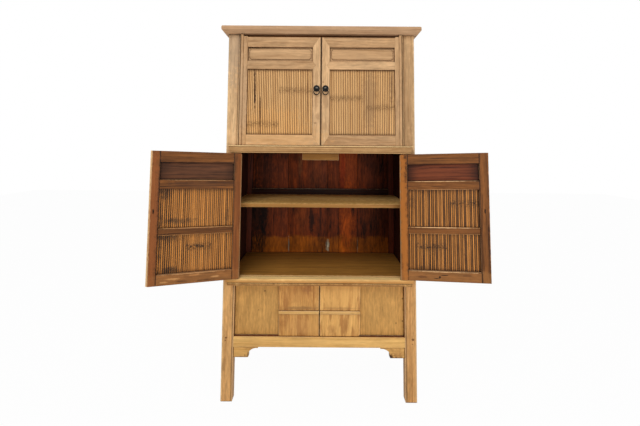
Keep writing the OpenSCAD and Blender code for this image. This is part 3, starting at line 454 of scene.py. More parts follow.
# Dark marks low on the brackets' lobes are painted shade on their sides and lower edges; the
# lighter ones tint the wood
BRACKET_MARKS_AND_SHADE = (
    ((-0.364, -0.20, 0.222), (0.007, 0.03, 0.016), (84, 56, 32), 0.8),
    ((-0.385, -0.20, 0.212), (0.050, 0.03, 0.012), (104, 68, 38), 0.8),
    ((-0.330, -0.20, 0.262), (0.060, 0.03, 0.012), (150, 104, 58), 0.5),
    ((0.330, -0.20, 0.262), (0.060, 0.03, 0.012), (150, 104, 58), 0.5),
    ((0.385, -0.20, 0.235), (0.070, 0.03, 0.040), (166, 118, 66), 0.75),
    ((-0.350, -0.20, 0.226), (0.008, 0.03, 0.026), (84, 54, 30), 0.8),
    ((0.352, -0.20, 0.220), (0.026, 0.03, 0.030), (56, 34, 18), 0.95),
    ((0.388, -0.20, 0.212), (0.060, 0.03, 0.014), (62, 38, 20), 0.95),
)
# Painted highlights on the middle rail's two beads and painted shade in the quirks beside them
RAIL_HIGHLIGHTS_AND_SHADE = (
    ((0.0, -0.245, 1.2455), (2.0, 0.02, 0.0024), (120, 84, 48), 0.6),
    ((0.0, -0.245, 1.2235), (2.0, 0.02, 0.0024), (112, 76, 42), 0.65),
    ((0.0, -0.245, 1.2510), (2.0, 0.02, 0.0032), (255, 220, 160), 0.9),
    ((0.0, -0.245, 1.2190), (2.0, 0.02, 0.0022), (226, 182, 124), 0.5),
)
# Painted shade down the base rail's moulding: on the lower bulge, in the groove and on the
# fillet beneath
BASE_RAIL_SHADE = (
    ((0.0, -0.245, 0.5950), (2.0, 0.02, 0.0080), (196, 132, 66), 0.6),
    ((0.0, -0.245, 0.5880), (2.0, 0.02, 0.0026), (110, 70, 36), 0.5),
    ((0.0, -0.245, 0.5800), (2.0, 0.02, 0.0060), (132, 84, 40), 0.85),
)
# Painted highlights along the top edge of the rear rail behind the middle shelf, with two
# brighter spots on it
LEDGE_HIGHLIGHTS = (
    ((0.0, 0.165, 0.9978), (0.40, 0.012, 0.0024), (160, 136, 112), 0.65),
    ((-0.060, 0.165, 1.0000), (0.030, 0.012, 0.0030), (186, 168, 140), 0.6),
    ((0.292, 0.165, 1.0010), (0.006, 0.012, 0.0050), (200, 190, 170), 0.8),
)
# Painted highlight along the front edge of the base floor
FLOOR_EDGE_HIGHLIGHT = (
    ((0.0, -0.2060, 0.607), (3.0, 0.0100, 0.020), (228, 184, 124), 0.90),
)
# Painted shade that darkens the front half of the middle shelf
SHELF_FRONT_SHADE = (
    ((0.0, -0.110, 0.90), (0.9, 0.130, 0.2), (160, 114, 54), 0.75),
)
BACK_MARKS = (
    ((0.134, 0.18, 1.10), (0.022, 0.03, 0.24), (150, 50, 14), 0.65),
    ((0.162, 0.18, 0.82), (0.058, 0.03, 0.28), (176, 78, 14), 0.75),
    ((-0.010, 0.18, 1.10), (0.080, 0.03, 0.20), (120, 62, 30), 0.35),
    ((-0.110, 0.18, 0.85), (0.060, 0.03, 0.18), (140, 70, 26), 0.35),
    # Darker towards both ends of the back, by the side walls
    ((0.330, 0.18, 1.10), (0.090, 0.03, 0.20), (88, 44, 30), 0.4),
    ((-0.330, 0.18, 1.10), (0.090, 0.03, 0.20), (36, 16, 12), 0.5),
    ((-0.400, 0.18, 0.86), (0.110, 0.03, 0.22), (20, 9, 6), 0.75),
    ((0.395, 0.18, 0.86), (0.090, 0.03, 0.24), (46, 19, 10), 0.5),
    ((0.290, 0.18, 0.88), (0.060, 0.03, 0.14), (120, 56, 18), 0.35),
    ((-0.240, 0.18, 0.940), (0.060, 0.03, 0.060), (26, 11, 7), 0.6),
    ((-0.122, 0.18, 1.150), (0.018, 0.03, 0.090), (118, 72, 40), 0.55),
    ((0.020, 0.18, 1.100), (0.016, 0.03, 0.120), (104, 48, 28), 0.45),
    ((-0.052, 0.18, 0.800), (0.022, 0.03, 0.100), (18, 6, 4), 0.8),
    ((-0.345, 0.18, 0.860), (0.030, 0.03, 0.100), (20, 7, 4), 0.7),
    ((-0.188, 0.18, 0.655), (0.006, 0.03, 0.060), (150, 140, 120), 0.7),
    ((0.046, 0.18, 0.655), (0.013, 0.03, 0.045), (216, 206, 174), 0.95),
    ((0.226, 0.18, 0.655), (0.004, 0.03, 0.060), (140, 130, 110), 0.6),
)
ROUND_MARKS = (
    ((-0.3225, -0.228, 1.560), (0.0064, 0.03, 0.190), (34, 20, 12), 1.0),
    ((-0.2955, -0.228, 1.380), (0.0056, 0.03, 0.130), (50, 30, 16), 1.0),
    ((-0.0660, -0.228, 1.490), (0.0040, 0.03, 0.200), (112, 74, 42), 0.7),
    ((0.3420, -0.228, 1.520), (0.0044, 0.03, 0.150), (84, 54, 30), 0.8),
    ((0.237, -0.23, 1.480), (0.045, 0.03, 0.230), (150, 118, 84), 0.45),
    ((0.350, -0.23, 1.560), (0.030, 0.03, 0.120), (146, 112, 78), 0.40),
    ((-0.230, -0.23, 1.345), (0.220, 0.03, 0.130), (250, 186, 108), 0.42),
)
FLAT_MARKS = (
    ((-0.065, -0.21, 1.020), (0.045, 0.03, 0.050), (58, 30, 12), 0.80),
    ((-0.120, -0.21, 0.895), (0.120, 0.03, 0.020), (50, 26, 12), 0.80),
    ((-0.095, -0.21, 0.820), (0.070, 0.03, 0.030), (58, 30, 12), 0.80),
    ((-0.095, -0.21, 0.672), (0.085, 0.03, 0.026), (48, 24, 10), 0.85),
    ((-0.052, -0.21, 0.850), (0.018, 0.03, 0.240), (70, 38, 16), 0.70),
    ((-0.340, -0.21, 0.900), (0.016, 0.03, 0.100), (70, 38, 16), 0.55),
    ((0.345, -0.21, 0.980), (0.016, 0.03, 0.080), (60, 32, 14), 0.65),
    ((0.110, -0.21, 0.760), (0.012, 0.03, 0.120), (66, 36, 16), 0.65),
    ((0.300, -0.21, 0.670), (0.070, 0.03, 0.014), (62, 34, 14), 0.60),
)
# Painted highlight on the boss of each ring's plate
IRON_HIGHLIGHTS = (
    ((-0.0215, -0.2395, 1.5330), (0.0070, 0.010, 0.0040), (132, 126, 116), 0.85),
    ((0.0215, -0.2395, 1.5330), (0.0070, 0.010, 0.0040), (132, 126, 116), 0.85),
)

MATERIALS = {
    "outer": wood("outer_wood", POST, ((32, 11, 7), (108, 46, 22)), warm=WARM_FOOT,
                  marks=POST_MARKS, mottle=0.55, stripes=POST_HIGHLIGHTS_AND_SHADE),
    "cap": wood("cap_wood", ((170, 130, 94), (222, 184, 144)), grime=0.2),
    "side": wood("side_wood", OUTER, DARK_LACQUER, warm=WARM_FOOT, marks=LEDGE_HIGHLIGHTS),
    "rail": wood("middle_rail_wood", ((146, 104, 58), (212, 168, 114)), LACQUER,
                 marks=RAIL_HIGHLIGHTS_AND_SHADE, grime=0.2),
    # The base rail's top faces take the pale second finish: painted light on the faces that
    # look up
    "bright": wood("base_rail_wood", ((214, 154, 82), (252, 210, 138)),
                   ((255, 206, 128), (255, 228, 162)), inner_by="up", inner_figure=0.2,
                   marks=BASE_RAIL_SHADE, grime=0.2),
    "base": wood("base_wood", WARM, LACQUER, marks=BRACKET_MARKS_AND_SHADE),
    "grip": wood("grip_wood", ((172, 122, 62), (232, 184, 112)), marks=GRIP_MARKS),
    "door": wood("door_wood", DOOR, BROWN, inner_by="inner", marks=DOOR_MARKS_AND_HIGHLIGHTS,
                 rub_and_highlight=(212, 164, 112), band=(0.659, (158, 106, 58), 0.6), figure=0.34,
                 inner_figure=0.8, mottle=0.5, crevice_dirt_and_shade=(0.006, 1.0),
                 inner_stripes=SHOULDERS, spare=(0.0802, 0.0065),
                 meeting=(44, 26, 14)),
    "panel": wood("door_panel_wood", DOOR, ((50, 29, 18), (124, 77, 49)), inner_by="inner",
                  rub_and_highlight=(104, 70, 42), worn=0.95, end_shade=0.5, crevice_dirt_and_shade=(0.007, 0.9),
                  figure=0.34),
    "red_panel": wood("red_door_panel_wood", DOOR, ((56, 24, 13), (134, 68, 38)),
                      inner_by="inner", rub_and_highlight=(104, 70, 42), worn=0.95, end_shade=0.8,
                      crevice_dirt_and_shade=(0.007, 0.9), figure=0.34),
    "slider": wood("slider_wood", ((180, 122, 60), (240, 186, 110)), LACQUER,
                   inner_by="inner", patches=((152, 92, 46), 0.46, 0.6), marks=SLIDER_STAINS),
    "fixed": wood("fixed_panel_wood", ((168, 122, 64), (214, 162, 92)), LACQUER,
                  inner_by="inner", marks=FIXED_MARKS, grime=0.5, reach=0.016, rings=0.14,
                  figure=0.36, mottle=0.5),
    "back": wood("back_board_wood", ((120, 88, 58), (170, 130, 92)),
                 ((36, 14, 7), (156, 68, 22)), figure=0.7, cloudy=(0.35, 1.45),
                 inner_figure=0.4, mottle=1.3, inner_marks=BACK_MARKS, rub_and_highlight=(80, 40, 20),
                 band=(0.708, (172, 94, 14), 0.66)),
    # The floors' top faces take a lighter second finish: painted light on the faces that look
    # up
    "floor": wood("floor_wood", ((92, 62, 26), (158, 114, 54)),
                  ((98, 64, 24), (176, 124, 54)), inner_by="up", worn=0.3, inner_figure=0.5,
                  rub_and_highlight=(190, 146, 84), marks=FLOOR_EDGE_HIGHLIGHT),
    # The shelves' top faces take the pale second finish: painted light on the faces that look
    # up
    "shelf": wood("shelf_wood", ((140, 98, 50), (222, 166, 96)),
                  ((236, 186, 108), (255, 216, 138)), inner_by="up", inner_figure=0.2,
                  worn=0.7, rub_and_highlight=(220, 172, 112), marks=SHELF_FRONT_SHADE),
    "stop": wood("stop_wood", ((110, 70, 30), (156, 108, 51))),
    "batten": wood("batten_wood", BROWN, BROWN, inner_by="inner", rub_and_highlight=(212, 158, 98),
                   worn=0.9, marks=BATTEN_HIGHLIGHTS),
}


def bamboo(name, flat, variety, seam_shade, round_marks=(), flat_marks=()):
    """Split bamboo: smooth and pale on the round side, fibrous and stained on the flat side.

    Variety is how far the strips differ, and seam_shade the colour of the bars between them,
    painted shade of the gaps."""
    s = Shader(name, 0.5, 0.2)
    rim, size = s.attribute("rim"), s.attribute("size")
    seed, home = s.attribute("seed"), s.attribute("home")
    node, inner = s.attribute("node", "Fac"), s.attribute("inner", "Fac")
    grain = s.vector("ADD", rim, s.vector("MULTIPLY", seed, (5.0, 5.0, 5.0)))
    tone = s.split(seed)[0]
    fibre = s.noise(grain, (14.0, 900.0, 900.0), detail=3.0)
    blotch = s.noise(grain, (12.0, 90.0, 90.0), detail=3.0)
    value = s.math("ADD", s.math("MULTIPLY", s.math("SUBTRACT", tone, 0.5), variety), s.math(
        "MULTIPLY", s.math("ADD", fibre, blotch), 0.6))
    value = s.math("SUBTRACT", value, 0.10, clamp=True)
    across = s.math("DIVIDE", s.math("ABSOLUTE", s.split(rim)[1]), s.split(size)[1])
    ragged = s.math("ADD", across, s.math("MULTIPLY", s.math(
        "SUBTRACT", s.noise(home, (300.0, 300.0, 90.0), detail=2.0), 0.5), 0.5))
    sides = []
    # Each side darkens towards the strips' long edges: painted shade on the flanks of the round
    # side, and a ragged darkening on the flat side
    for colours, marks, start, tint, strength in (
            (PALE_BAMBOO, round_marks, 0.64, (126, 84, 46), 0.75),
            (flat, flat_marks, 0.45, (34, 15, 5), 1.0)):
        side = add_marks(s, s.mix(value, linear(colours[0]), linear(colours[1])), home, marks)
        edge = ragged if marks is flat_marks else across
        sides.append(s.mix(s.ramp(edge, start, 0.95, 0.0, strength), side, linear(tint)))
    colour = s.mix(inner, *sides)
    joint = s.math("MULTIPLY", node, s.ramp(blotch, 0.3, 0.7, 0.12, 0.40))
    colour = s.mix(joint, colour, linear((120, 80, 44)))
    wander = s.noise(home, (52.0, 52.0, 75.0), detail=1.0, distortion=1.4)
    vein = s.math("MULTIPLY", s.ramp(inner, 0.0, 1.0, 0.45, 1.0), s.ramp(s.math(
        "ABSOLUTE", s.math("SUBTRACT", wander, 0.5)), 0.020, 0.085, 1.0, 0.0))
    colour = s.mix(s.math("MULTIPLY", vein, node), colour, linear((30, 16, 7)))
    ends = s.math("SUBTRACT", s.split(size)[0], s.math("ABSOLUTE", s.split(rim)[0]))
    colour = s.mix(s.ramp(ends, 0.004, 0.022, 0.65, 0.0), colour, linear((88, 58, 34)))
    # The bars between the strips take the seam colour: painted shade of the gaps
    colour = s.mix(s.attribute("seam_shade", "Fac"), colour, linear(seam_shade))
    colour = add_crevice_dirt_and_shade(s, colour, home, 0.006, 0.7, (100, 66, 40))
    s.bump(fibre, 0.0003)
    return s.finish(colour)


MATERIALS["bamboo_upper"] = bamboo(
    "bamboo_pale", ((120, 78, 44), (176, 122, 72)), 0.35, (104, 64, 32),
    round_marks=ROUND_MARKS)
MATERIALS["bamboo_lower"] = bamboo(
    "bamboo_dark", ((62, 28, 7), (236, 153, 66)), 1.0, (30, 18, 10), flat_marks=FLAT_MARKS)


def iron():
    """Blackened iron, rubbed grey where it is touched, with a painted highlight on each plate's
    boss.
    """
    s = Shader("dark_iron", 0.7, 0.2)
    home = s.attribute("home")
    cloud = s.noise(home, (160.0, 160.0, 160.0), detail=4.0)
    colour = s.mix(s.ramp(cloud, 0.42, 0.66), linear((12, 11, 10)), linear((38, 36, 33)))
    colour = add_marks(s, colour, home, IRON_HIGHLIGHTS)
    s.bump(s.noise(home, (500.0, 500.0, 500.0)), 0.0003)
    return s.finish(colour, s.ramp(cloud, 0.3, 0.7, 0.75, 0.5))


MATERIALS["iron"] = iron()


# Meshes

def islands(bm):
    """Lists of the vertices of each separate solid, in a fixed order."""
    seen, groups = set(), []
    for start in bm.verts:
        if start.index in seen:
            continue
        group, queue = [], [start]
        seen.add(start.index)
        while queue:
            vert = queue.pop()
            group.append(vert)
            for edge in vert.link_edges:
                other = edge.other_vert(vert)
                if other.index not in seen:
                    seen.add(other.index)
                    queue.append(other)
        groups.append(group)
    return groups


def member_axes(points):
    """Centre, three axes from long to short and half sizes of a member, doors closed."""
    low = Vector(min(p[i] for p in points) for i in range(3))
    high = Vector(max(p[i] for p in points) for i in range(3))
    order = sorted(range(3), key=lambda i: low[i] - high[i])
    axes = [Vector([float(i == k) for k in range(3)]) for i in order]
    slack = 0.05 * (high - low)[order[0]]
    head = [p for p in points if p[order[0]] > high[order[0]] - slack]
    foot = [p for p in points if p[order[0]] < low[order[0]] + slack]
    lean = (sum(head, Vector()) / len(head) - sum(foot, Vector()) / len(foot)).normalized()
    if 0 < lean.angle(axes[0]) < 1.5 * SPLAY:
        axes[0] = lean
        axes[1] = (axes[1] - axes[1].dot(lean) * lean).normalized()
        axes[2] = axes[0].cross(axes[1])
    spans = [[p.dot(axis) for p in points] for axis in axes]
    centre = sum((axis * (min(s) + max(s)) / 2 for axis, s in zip(axes, spans)), Vector())
    half = Vector([(max(s) - min(s)) / 2 for s in spans])
    return centre, axes, half


def dress(bm, piece_name, body, tones=None):
    """Writes the attributes that the materials read, and makes the piece's object."""
    to_home = TO_HOME[body]
    turn = to_home.to_3x3()
    bm.verts.index_update()
    layers = {name: bm.verts.layers.float_vector.new(name)
              for name in ("rim", "size", "seed", "home")}
    inner = bm.faces.layers.float.new("inner")
    up = bm.faces.layers.float.new("up")
    groups = sorted(([(v, to_home @ v.co) for v in group] for group in islands(bm)),
                    key=lambda g: round(sum(p.x for _, p in g) / len(g), 4))
    for i, group in enumerate(groups):
        draw = random.Random(f"{piece_name} {i}")
        centre, axes, half = member_axes([p for _, p in group])
        seed = Vector([draw.random() for _ in range(3)])
        if tones:
            seed.x = tones[i % len(tones)]
        for vert, place in group:
            vert[layers["rim"]] = Vector([(place - centre).dot(axis) for axis in axes])
            vert[layers["size"]] = half
            vert[layers["seed"]] = seed
            vert[layers["home"]] = place
    for face in bm.faces:
        face[inner] = float((turn @ face.normal).y > 0.8)
        # Faces that look up, which the base rail, floors and shelves paint lighter as painted
        # light
        face[up] = float((turn @ face.normal).z > 0.9)
    mesh = bpy.data.meshes.new(piece_name)
    bm.to_mesh(mesh)
    bm.free()
    piece = bpy.data.objects.new(piece_name, mesh)
    bpy.context.scene.collection.objects.link(piece)
    return piece


def shade(mesh, angle):
    """Smooth shading, with the edges above an angle kept sharp."""
    mesh.shade_smooth()
    mesh.set_sharp_from_angle(angle=math.radians(angle))


def join_frame(piece, nodes, material):
    """Gives a piece its material and body, and hides the CAD nodes that it stands for."""
    piece.data.materials.append(MATERIALS[material])
    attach(piece, BODY[nodes[0]])
    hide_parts(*nodes)


def trim(bm, body, point, normal):
    """Planes a convex corner away: what lies beyond a plane in closed coordinates."""
    to_rest = TO_REST[body]
    made = bmesh.ops.bisect_plane(
        bm, geom=bm.verts[:] + bm.edges[:] + bm.faces[:], dist=0.000001,
        plane_co=to_rest @ Vector(point),
        plane_no=(to_rest.to_3x3() @ Vector(normal)).normalized(), clear_outer=True)
    cut = [item for item in made["geom_cut"] if isinstance(item, bmesh.types.BMEdge)]
    bmesh.ops.edgeloop_fill(bm, edges=cut)


def cad_mesh(node):
    """Mesh of a CAD node, with its doubled points joined and its flat faces whole."""
    bm = bmesh.new()
    bm.from_mesh(NODES[node].data)
    for name in list(bm.loops.layers.uv.keys()):
        bm.loops.layers.uv.remove(bm.loops.layers.uv[name])
    bmesh.ops.remove_doubles(bm, verts=bm.verts, dist=0.000002)
    bmesh.ops.dissolve_limit(bm, angle_limit=math.radians(0.4), verts=bm.verts,
                             edges=bm.edges, use_dissolve_boundaries=False)
    return bm


def wooden(node, material, width=0.0012, tones=None, trims=(), extra=None):
    """Worn copy of a wooden CAD node: trimmed, and its outer edges rounded by a width."""
    bm = cad_mesh(node)
    for point, normal in trims:
        trim(bm, BODY[node], point, normal)
    edge_layer = bm.faces.layers.float.new("edge")
    sharp = [e for e in bm.edges if len(e.link_faces) == 2
             and e.calc_face_angle_signed() > math.radians(24)]
    made = bmesh.ops.bevel(bm, geom=sharp, offset=width, offset_type="OFFSET", segments=2,
                           profile=0.6, affect="EDGES", clamp_overlap=True)
    for face in made["faces"]:
        face[edge_layer] = 1.0
    if extra:
        extra(bm)
    piece = dress(bm, node + "_wood", BODY[node], tones)
    shade(piece.data, 32)
    join_frame(piece, [node], material)


def add_block(bm, low, high):
    """Adds an upright block between two corners."""
    middle = [(a + b) / 2 for a, b in zip(low, high)]
    size = [b - a for a, b in zip(low, high)]
    matrix = Matrix.Translation(middle) @ Matrix.Diagonal((*size, 1.0))
    bmesh.ops.create_cube(bm, size=1.0, matrix=matrix)


def loose_tongues(bm):
    """Thin tongues that close the open joints between the back boards."""
    bm.verts.index_update()
    boards = sorted((min(v.co.x for v in g), max(v.co.x for v in g)) for g in islands(bm))
    low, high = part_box("back_boards")
    middle = (low.y + high.y) / 2
    for (_, left), (right, _) in zip(boards, boards[1:]):
        x = (left + right) / 2
        add_block(bm, (x - 0.004, middle - 0.0015, low.z + 0.001),
                  (x + 0.004, middle + 0.0015, high.z - 0.001))


# Bamboo strips

STRIP_ARC = 6
STRIP_STEPS = 12
SHOULDER = 0.0009
# A joint strays this far from its row, and its swelling and its dark mark reach this far
JOINT_DRIFT = 0.003
SWELL_REACH = 0.0030
MARK_REACH = 0.014
JOINT_STATIONS = (-0.020, -0.010, -0.004, -0.0015, 0.0, 0.0015, 0.004, 0.010, 0.020)
# Height of a joint that lies on no strip
NO_JOINT = 9.0
# A seam's half width, and its front and back faces before the back of the strips
SEAM_HALF = 0.0024
SEAM_FRONT = 0.0024
SEAM_BACK = 0.0014


def add_bar(bm, body, sections):
    """Closed bar through sections of closed-door points; returns its rows of points."""
    rows = [[bm.verts.new(TO_REST[body] @ p) for p in section] for section in sections]
    for low, high in zip(rows, rows[1:]):
        for k in range(len(low)):
            n = (k + 1) % len(low)
            bm.faces.new((low[k], low[n], high[n], high[k]))
    bm.faces.new(rows[0][::-1])
    bm.faces.new(rows[-1])
    return rows


def strip_outline(half_w, depth, back, ridge, hollow):
    """Section of a strip: half round in front, and a shallow hollow or ridge behind."""
    front = [(math.cos(math.pi * k / STRIP_ARC) * half_w,
              back - SHOULDER - math.sin(math.pi * k / STRIP_ARC) * depth)
             for k in range(STRIP_ARC + 1)]
    return front + [(-0.78 * half_w, back), (-0.4 * half_w, back + ridge),
                    (0.0, back - hollow + 2 * ridge),
                    (0.4 * half_w, back + ridge), (0.78 * half_w, back)]


def add_strip(bm, body, points, index, level, breadths, draw):
    """Adds a strip in the place of a CAD strip; returns its ends and its back's offset."""
    centre, axes, half = member_axes(points)
    along = axes[0] if axes[0].z > 0 else -axes[0]
    back = max(p.y for p in points) - centre.y
    thick = back + centre.y - min(p.y for p in points)
    joint = (level + draw.uniform(-JOINT_DRIFT, JOINT_DRIFT) - centre.z) / half.x
    stations = [-1 + 2 * k / STRIP_STEPS for k in range(STRIP_STEPS + 1)]
    if abs(joint) < 0.95:
        stations += [joint + d / half.x for d in JOINT_STATIONS]
    breadth = draw.uniform(*breadths)
    ridge = 0.0009 * draw.random()
    hollow = 0.0004 * draw.random()
    sections, marks = [], []
    for t in sorted(stations):
        spread = abs(t - joint) * half.x
        swell = math.exp(-(spread / SWELL_REACH) ** 2)
        sway = 0.0002 * noise.noise(Vector((index * 3.1, t * 3.0, 0.0)))
        outline = strip_outline(half.y * breadth + 0.0003 * swell,
                                thick * (1 + 0.16 * swell) - SHOULDER, back, ridge * swell,
                                hollow)
        place = centre + along * (t * half.x)
        sections.append([place + Vector((x + sway, y, 0.0)) for x, y in outline])
        marks.append(math.exp(-(spread / MARK_REACH) ** 2))
    mark = bm.verts.layers.float["node"]
    for row, amount in zip(add_bar(bm, body, sections), marks):
        for vert in row:
            vert[mark] = amount
    return [centre + along * (t * half.x) for t in (-1, 1)], back


def add_seams(bm, body, lines, back):
    """Adds dark bars between the strips, and one outside the first and the last, as painted
    shade of the gaps between them.
    """
    outer = [[a - (b - a) for a, b in zip(*pair)] for pair in (lines[:2], lines[:-3:-1])]
    rows = [outer[0], *lines, outer[1]]
    seam_shade = bm.verts.layers.float["seam_shade"]
    for first, second in zip(rows, rows[1:]):
        sections = []
        for a, b in zip(first, second):
            middle = (a + b) / 2
            sections.append([middle + Vector((x, back - y, 0.0)) for x, y in (
                (SEAM_HALF, SEAM_FRONT), (-SEAM_HALF, SEAM_FRONT),
                (-SEAM_HALF, SEAM_BACK), (SEAM_HALF, SEAM_BACK))])
        for row in add_bar(bm, body, sections):
            for vert in row:
                vert[seam_shade] = 1.0


def strips(node, material, joint_rows, breadths, tones=None):
    """Half-round bamboo strips on the axes of the CAD strips, with joints and dark seams of
    painted shade.

    A joint row is the share of the width where it starts and ends, and its height. A strip
    has a share of its CAD width between the two breadths."""
    body = BODY[node]
    cad = bmesh.new()
    cad.from_mesh(NODES[node].data)
    bmesh.ops.remove_doubles(cad, verts=cad.verts, dist=0.000002)
    cad.verts.index_update()
    groups = [[TO_HOME[body] @ v.co for v in group] for group in islands(cad)]
    cad.free()
    groups.sort(key=lambda g: sum(p.x for p in g) / len(g))
    bm = bmesh.new()
    for name in ("node", "seam_shade"):
        bm.verts.layers.float.new(name)
    draw = random.Random(node)
    lines = []
    for i, group in enumerate(groups):
        share = (i + 0.5) / len(groups)
        level = next((z for start, end, z in joint_rows if start <= share < end), NO_JOINT)
        line, back = add_strip(bm, body, group, i, level, breadths, draw)
        lines.append(line)
    add_seams(bm, body, lines, back)
    bmesh.ops.recalc_face_normals(bm, faces=bm.faces)
    # Seams and strips take turns across the door, and each strip has its own tone
    turns = tones and [tone for tone in tones for _ in range(2)]
    piece = dress(bm, node + "_strips", body, turns)
    shade(piece.data, 50)
    join_frame(piece, [node], material)


# Carcass

for post in ("post_front_left", "post_front_right", "post_rear_left", "post_rear_right"):
    wooden(post, "outer")
for name in ("cap_frame", "cap_panel"):
    wooden(name, "cap", width=0.002)
for name in ("side_rails", "rear_rails", "side_panels"):
    wooden(name, "side")
# The top rail takes the dark batten finish: painted shade in the gap under the cap
wooden("top_rail", "batten")
wooden("middle_rail", "rail")
wooden("stop_block", "stop")
wooden("base_rail", "bright")
for name in ("bottom_rail", "brackets"):
    wooden(name, "base")
wooden("fixed_base_panels", "fixed")
wooden("back_boards", "back", tones=(0.2, 0.5, 0.3, 0.5, 0.45, 0.5, 0.95, 0.5, 0.25),
       extra=loose_tongues)
wooden("cleats", "back")
for name in ("upper_floor", "middle_floor", "base_floor"):
    wooden(name, "floor")
for name in ("upper_shelf", "middle_shelf"):
    wooden(name, "shelf")
# The right sliding panel has a worn lower corner
low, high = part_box("right_sliding_panel")
SLIDER_CORNER = (((high.x, 0.0, low.z + 0.016), (0.8, 0.0, -0.6)),)
for side, corner in (("left", ()), ("right", SLIDER_CORNER)):
    wooden(f"{side}_sliding_panel", "slider", width=0.002, trims=corner)
    wooden(f"{side}_slider_grip", "grip", width=0.0025)

# Doors

JOINT_ROWS = {
    "upper_left": ((0.0, 0.5, 1.356), (0.5, 1.0, 1.522)),
    "upper_right": ((0.0, 0.52, 1.484), (0.58, 1.0, 1.440)),
    "lower_left": ((0.28, 0.62, 0.772),),
    "lower_right": ((0.0, 0.40, 0.975), (0.44, 0.86, 0.769)),
}
FRAME_TONES = {"lower_left": 0.25, "lower_right": 0.4}
STRIP_TONES = {
    "lower_left": (0.65, 0.5, 0.7, 0.55, 0.8, 0.6, 0.75, 0.5, 0.65, 0.7, 0.55),
    "lower_right": (0.15, 0.6, 0.3, 0.8, 0.2, 0.5, 0.7, 0.1, 0.65, 0.35, 0.6),
}
BATTEN_TONES = {"lower_left": 0.1}
STRIP_BREADTHS = {"upper": (0.84, 1.0), "lower": (0.58, 1.0)}
# The left lower door's meeting stile has been planed off along its back edge
BACK_BEVEL = (((-0.0125, -0.208, 0.9), (0.53, 0.848, 0.0)),)
for door, rows in JOINT_ROWS.items():
    tier = door[:5]
    frame_tones = (FRAME_TONES[door],) if door in FRAME_TONES else None
    for part in ("hinge_stile", "meeting_stile", "rails", "panel"):
        planed = door == "lower_left" and part == "meeting_stile"
        material, width = "door", 0.0011
        if part == "panel":
            material, width = "red_panel" if door == "lower_right" else "panel", 0.0020
        wooden(f"{door}_{part}", material, width=width, tones=frame_tones,
               trims=BACK_BEVEL if planed else ())
    wooden(f"{door}_batten", "batten", width=0.0018, tones=(BATTEN_TONES.get(door, 0.4),))
    strips(f"{door}_slats", "bamboo_" + tier, rows, STRIP_BREADTHS[tier],
           STRIP_TONES.get(door))
    for part in ("plate", "ring"):
        wooden(f"{door}_{part}", "iron", width=0.0002)


# Stage, light and camera

def lamp(name, place, target, size, power):
    """Square soft lamp that looks from its place to a target."""
    data = bpy.data.lights.new(name, "AREA")
    data.energy = power
    data.size = size
    light = bpy.data.objects.new(name, data)
    light.location = place
    light.rotation_euler = (Vector(target) - Vector(place)).to_track_quat(
        "-Z", "Y").to_euler()
    bpy.context.scene.collection.objects.link(light)


def white_for_camera(nodes, links, shader, strength):
    """Mixes a shader with plain white for rays that show the background."""
    path = nodes.new("ShaderNodeLightPath")
    seen = nodes.new("ShaderNodeMath")
    seen.operation = "MAXIMUM"
    links.new(path.outputs["Is Camera Ray"], seen.inputs[0])
    gloss = nodes.new("ShaderNodeMath")
    gloss.operation = "MAXIMUM"
    links.new(path.outputs["Is Glossy Ray"], gloss.inputs[0])
    links.new(path.outputs["Is Transmission Ray"], gloss.inputs[1])
    links.new(gloss.outputs[0], seen.inputs[1])
    amount = nodes.new("ShaderNodeMath")
    amount.operation = "MULTIPLY"
    links.new(seen.outputs[0], amount.inputs[0])
    amount.inputs[1].default_value = strength
    mixed = nodes.new("ShaderNodeMixShader")
    links.new(amount.outputs[0], mixed.inputs[0])
    links.new(shader.outputs[0], mixed.inputs[1])
    return mixed


def make_world(level):
    """Even grey light from all round, seen by the camera as white."""
    world = bpy.data.worlds.new("studio")
    bpy.context.scene.world = world
    world.use_nodes = True
    nodes, links = world.node_tree.nodes, world.node_tree.links
    soft = nodes["Background"]
    soft.inputs["Color"].default_value = (1.0, 1.0, 1.0, 1.0)
    soft.inputs["Strength"].default_value = level
    white = nodes.new("ShaderNodeBackground")
    white.inputs["Color"].default_value = (1.0, 1.0, 1.0, 1.0)
    mixed = white_for_camera(nodes, links, soft, 1.0)
    links.new(white.outputs[0], mixed.inputs[2])
    links.new(mixed.outputs[0], nodes["World Output"].inputs["Surface"])


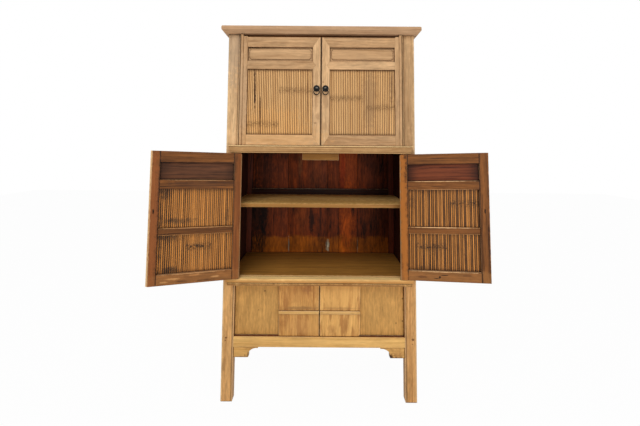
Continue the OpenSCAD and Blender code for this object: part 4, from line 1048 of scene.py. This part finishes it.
def make_floor(half, level):
    """Pale floor that shows as white and keeps the object's shadow."""
    mesh = bpy.data.meshes.new("floor")
    mesh.from_pydata([(-half, -half, 0), (half, -half, 0), (half, half, 0), (-half, half, 0)],
                     [], [(0, 1, 2, 3)])
    floor = bpy.data.objects.new("floor", mesh)
    bpy.context.scene.collection.objects.link(floor)
    material = bpy.data.materials.new("floor_white")
    material.use_nodes = True
    nodes, links = material.node_tree.nodes, material.node_tree.links
    nodes.remove(nodes["Principled BSDF"])
    paint = nodes.new("ShaderNodeBsdfDiffuse")
    paint.inputs["Color"].default_value = (0.86, 0.86, 0.86, 1.0)
    glow = nodes.new("ShaderNodeEmission")
    mixed = white_for_camera(nodes, links, paint, level)
    links.new(glow.outputs[0], mixed.inputs[2])
    links.new(mixed.outputs[0], nodes["Material Output"].inputs["Surface"])
    mesh.materials.append(material)


IMAGE_W = 640.0
IMAGE_H = 426.0
FOCAL_PX = 350.0
HORIZON_PX = 148.0
AXIS_PX = 320.6
ROLL = 0.0074
EYE = (0.0, -1.930, 1.242)


def make_camera():
    """Camera at the photograph's place: level, close, with the horizon above the middle."""
    data = bpy.data.cameras.new("camera")
    data.sensor_width = 36.0
    data.lens = FOCAL_PX / IMAGE_W * data.sensor_width
    data.shift_x = (IMAGE_W / 2 - AXIS_PX) / IMAGE_W
    data.shift_y = (HORIZON_PX - IMAGE_H / 2) / IMAGE_W
    camera = bpy.data.objects.new("camera", data)
    camera.matrix_world = (Matrix.Translation(EYE)
                           @ Matrix.Rotation(math.pi / 2, 4, "X")
                           @ Matrix.Rotation(ROLL, 4, "Z"))
    bpy.context.scene.collection.objects.link(camera)
    bpy.context.scene.camera = camera


make_world(0.48)
make_floor(8.0, 0.97)
lamp("key", (-0.9, -2.7, 3.9), (0.0, 0.0, 1.0), 2.0, 56.0)
lamp("fill", (1.2, -2.9, 0.9), (0.0, 0.0, 0.5), 1.6, 23.0)
make_camera()
bpy.context.scene.view_settings.view_transform = "Standard"
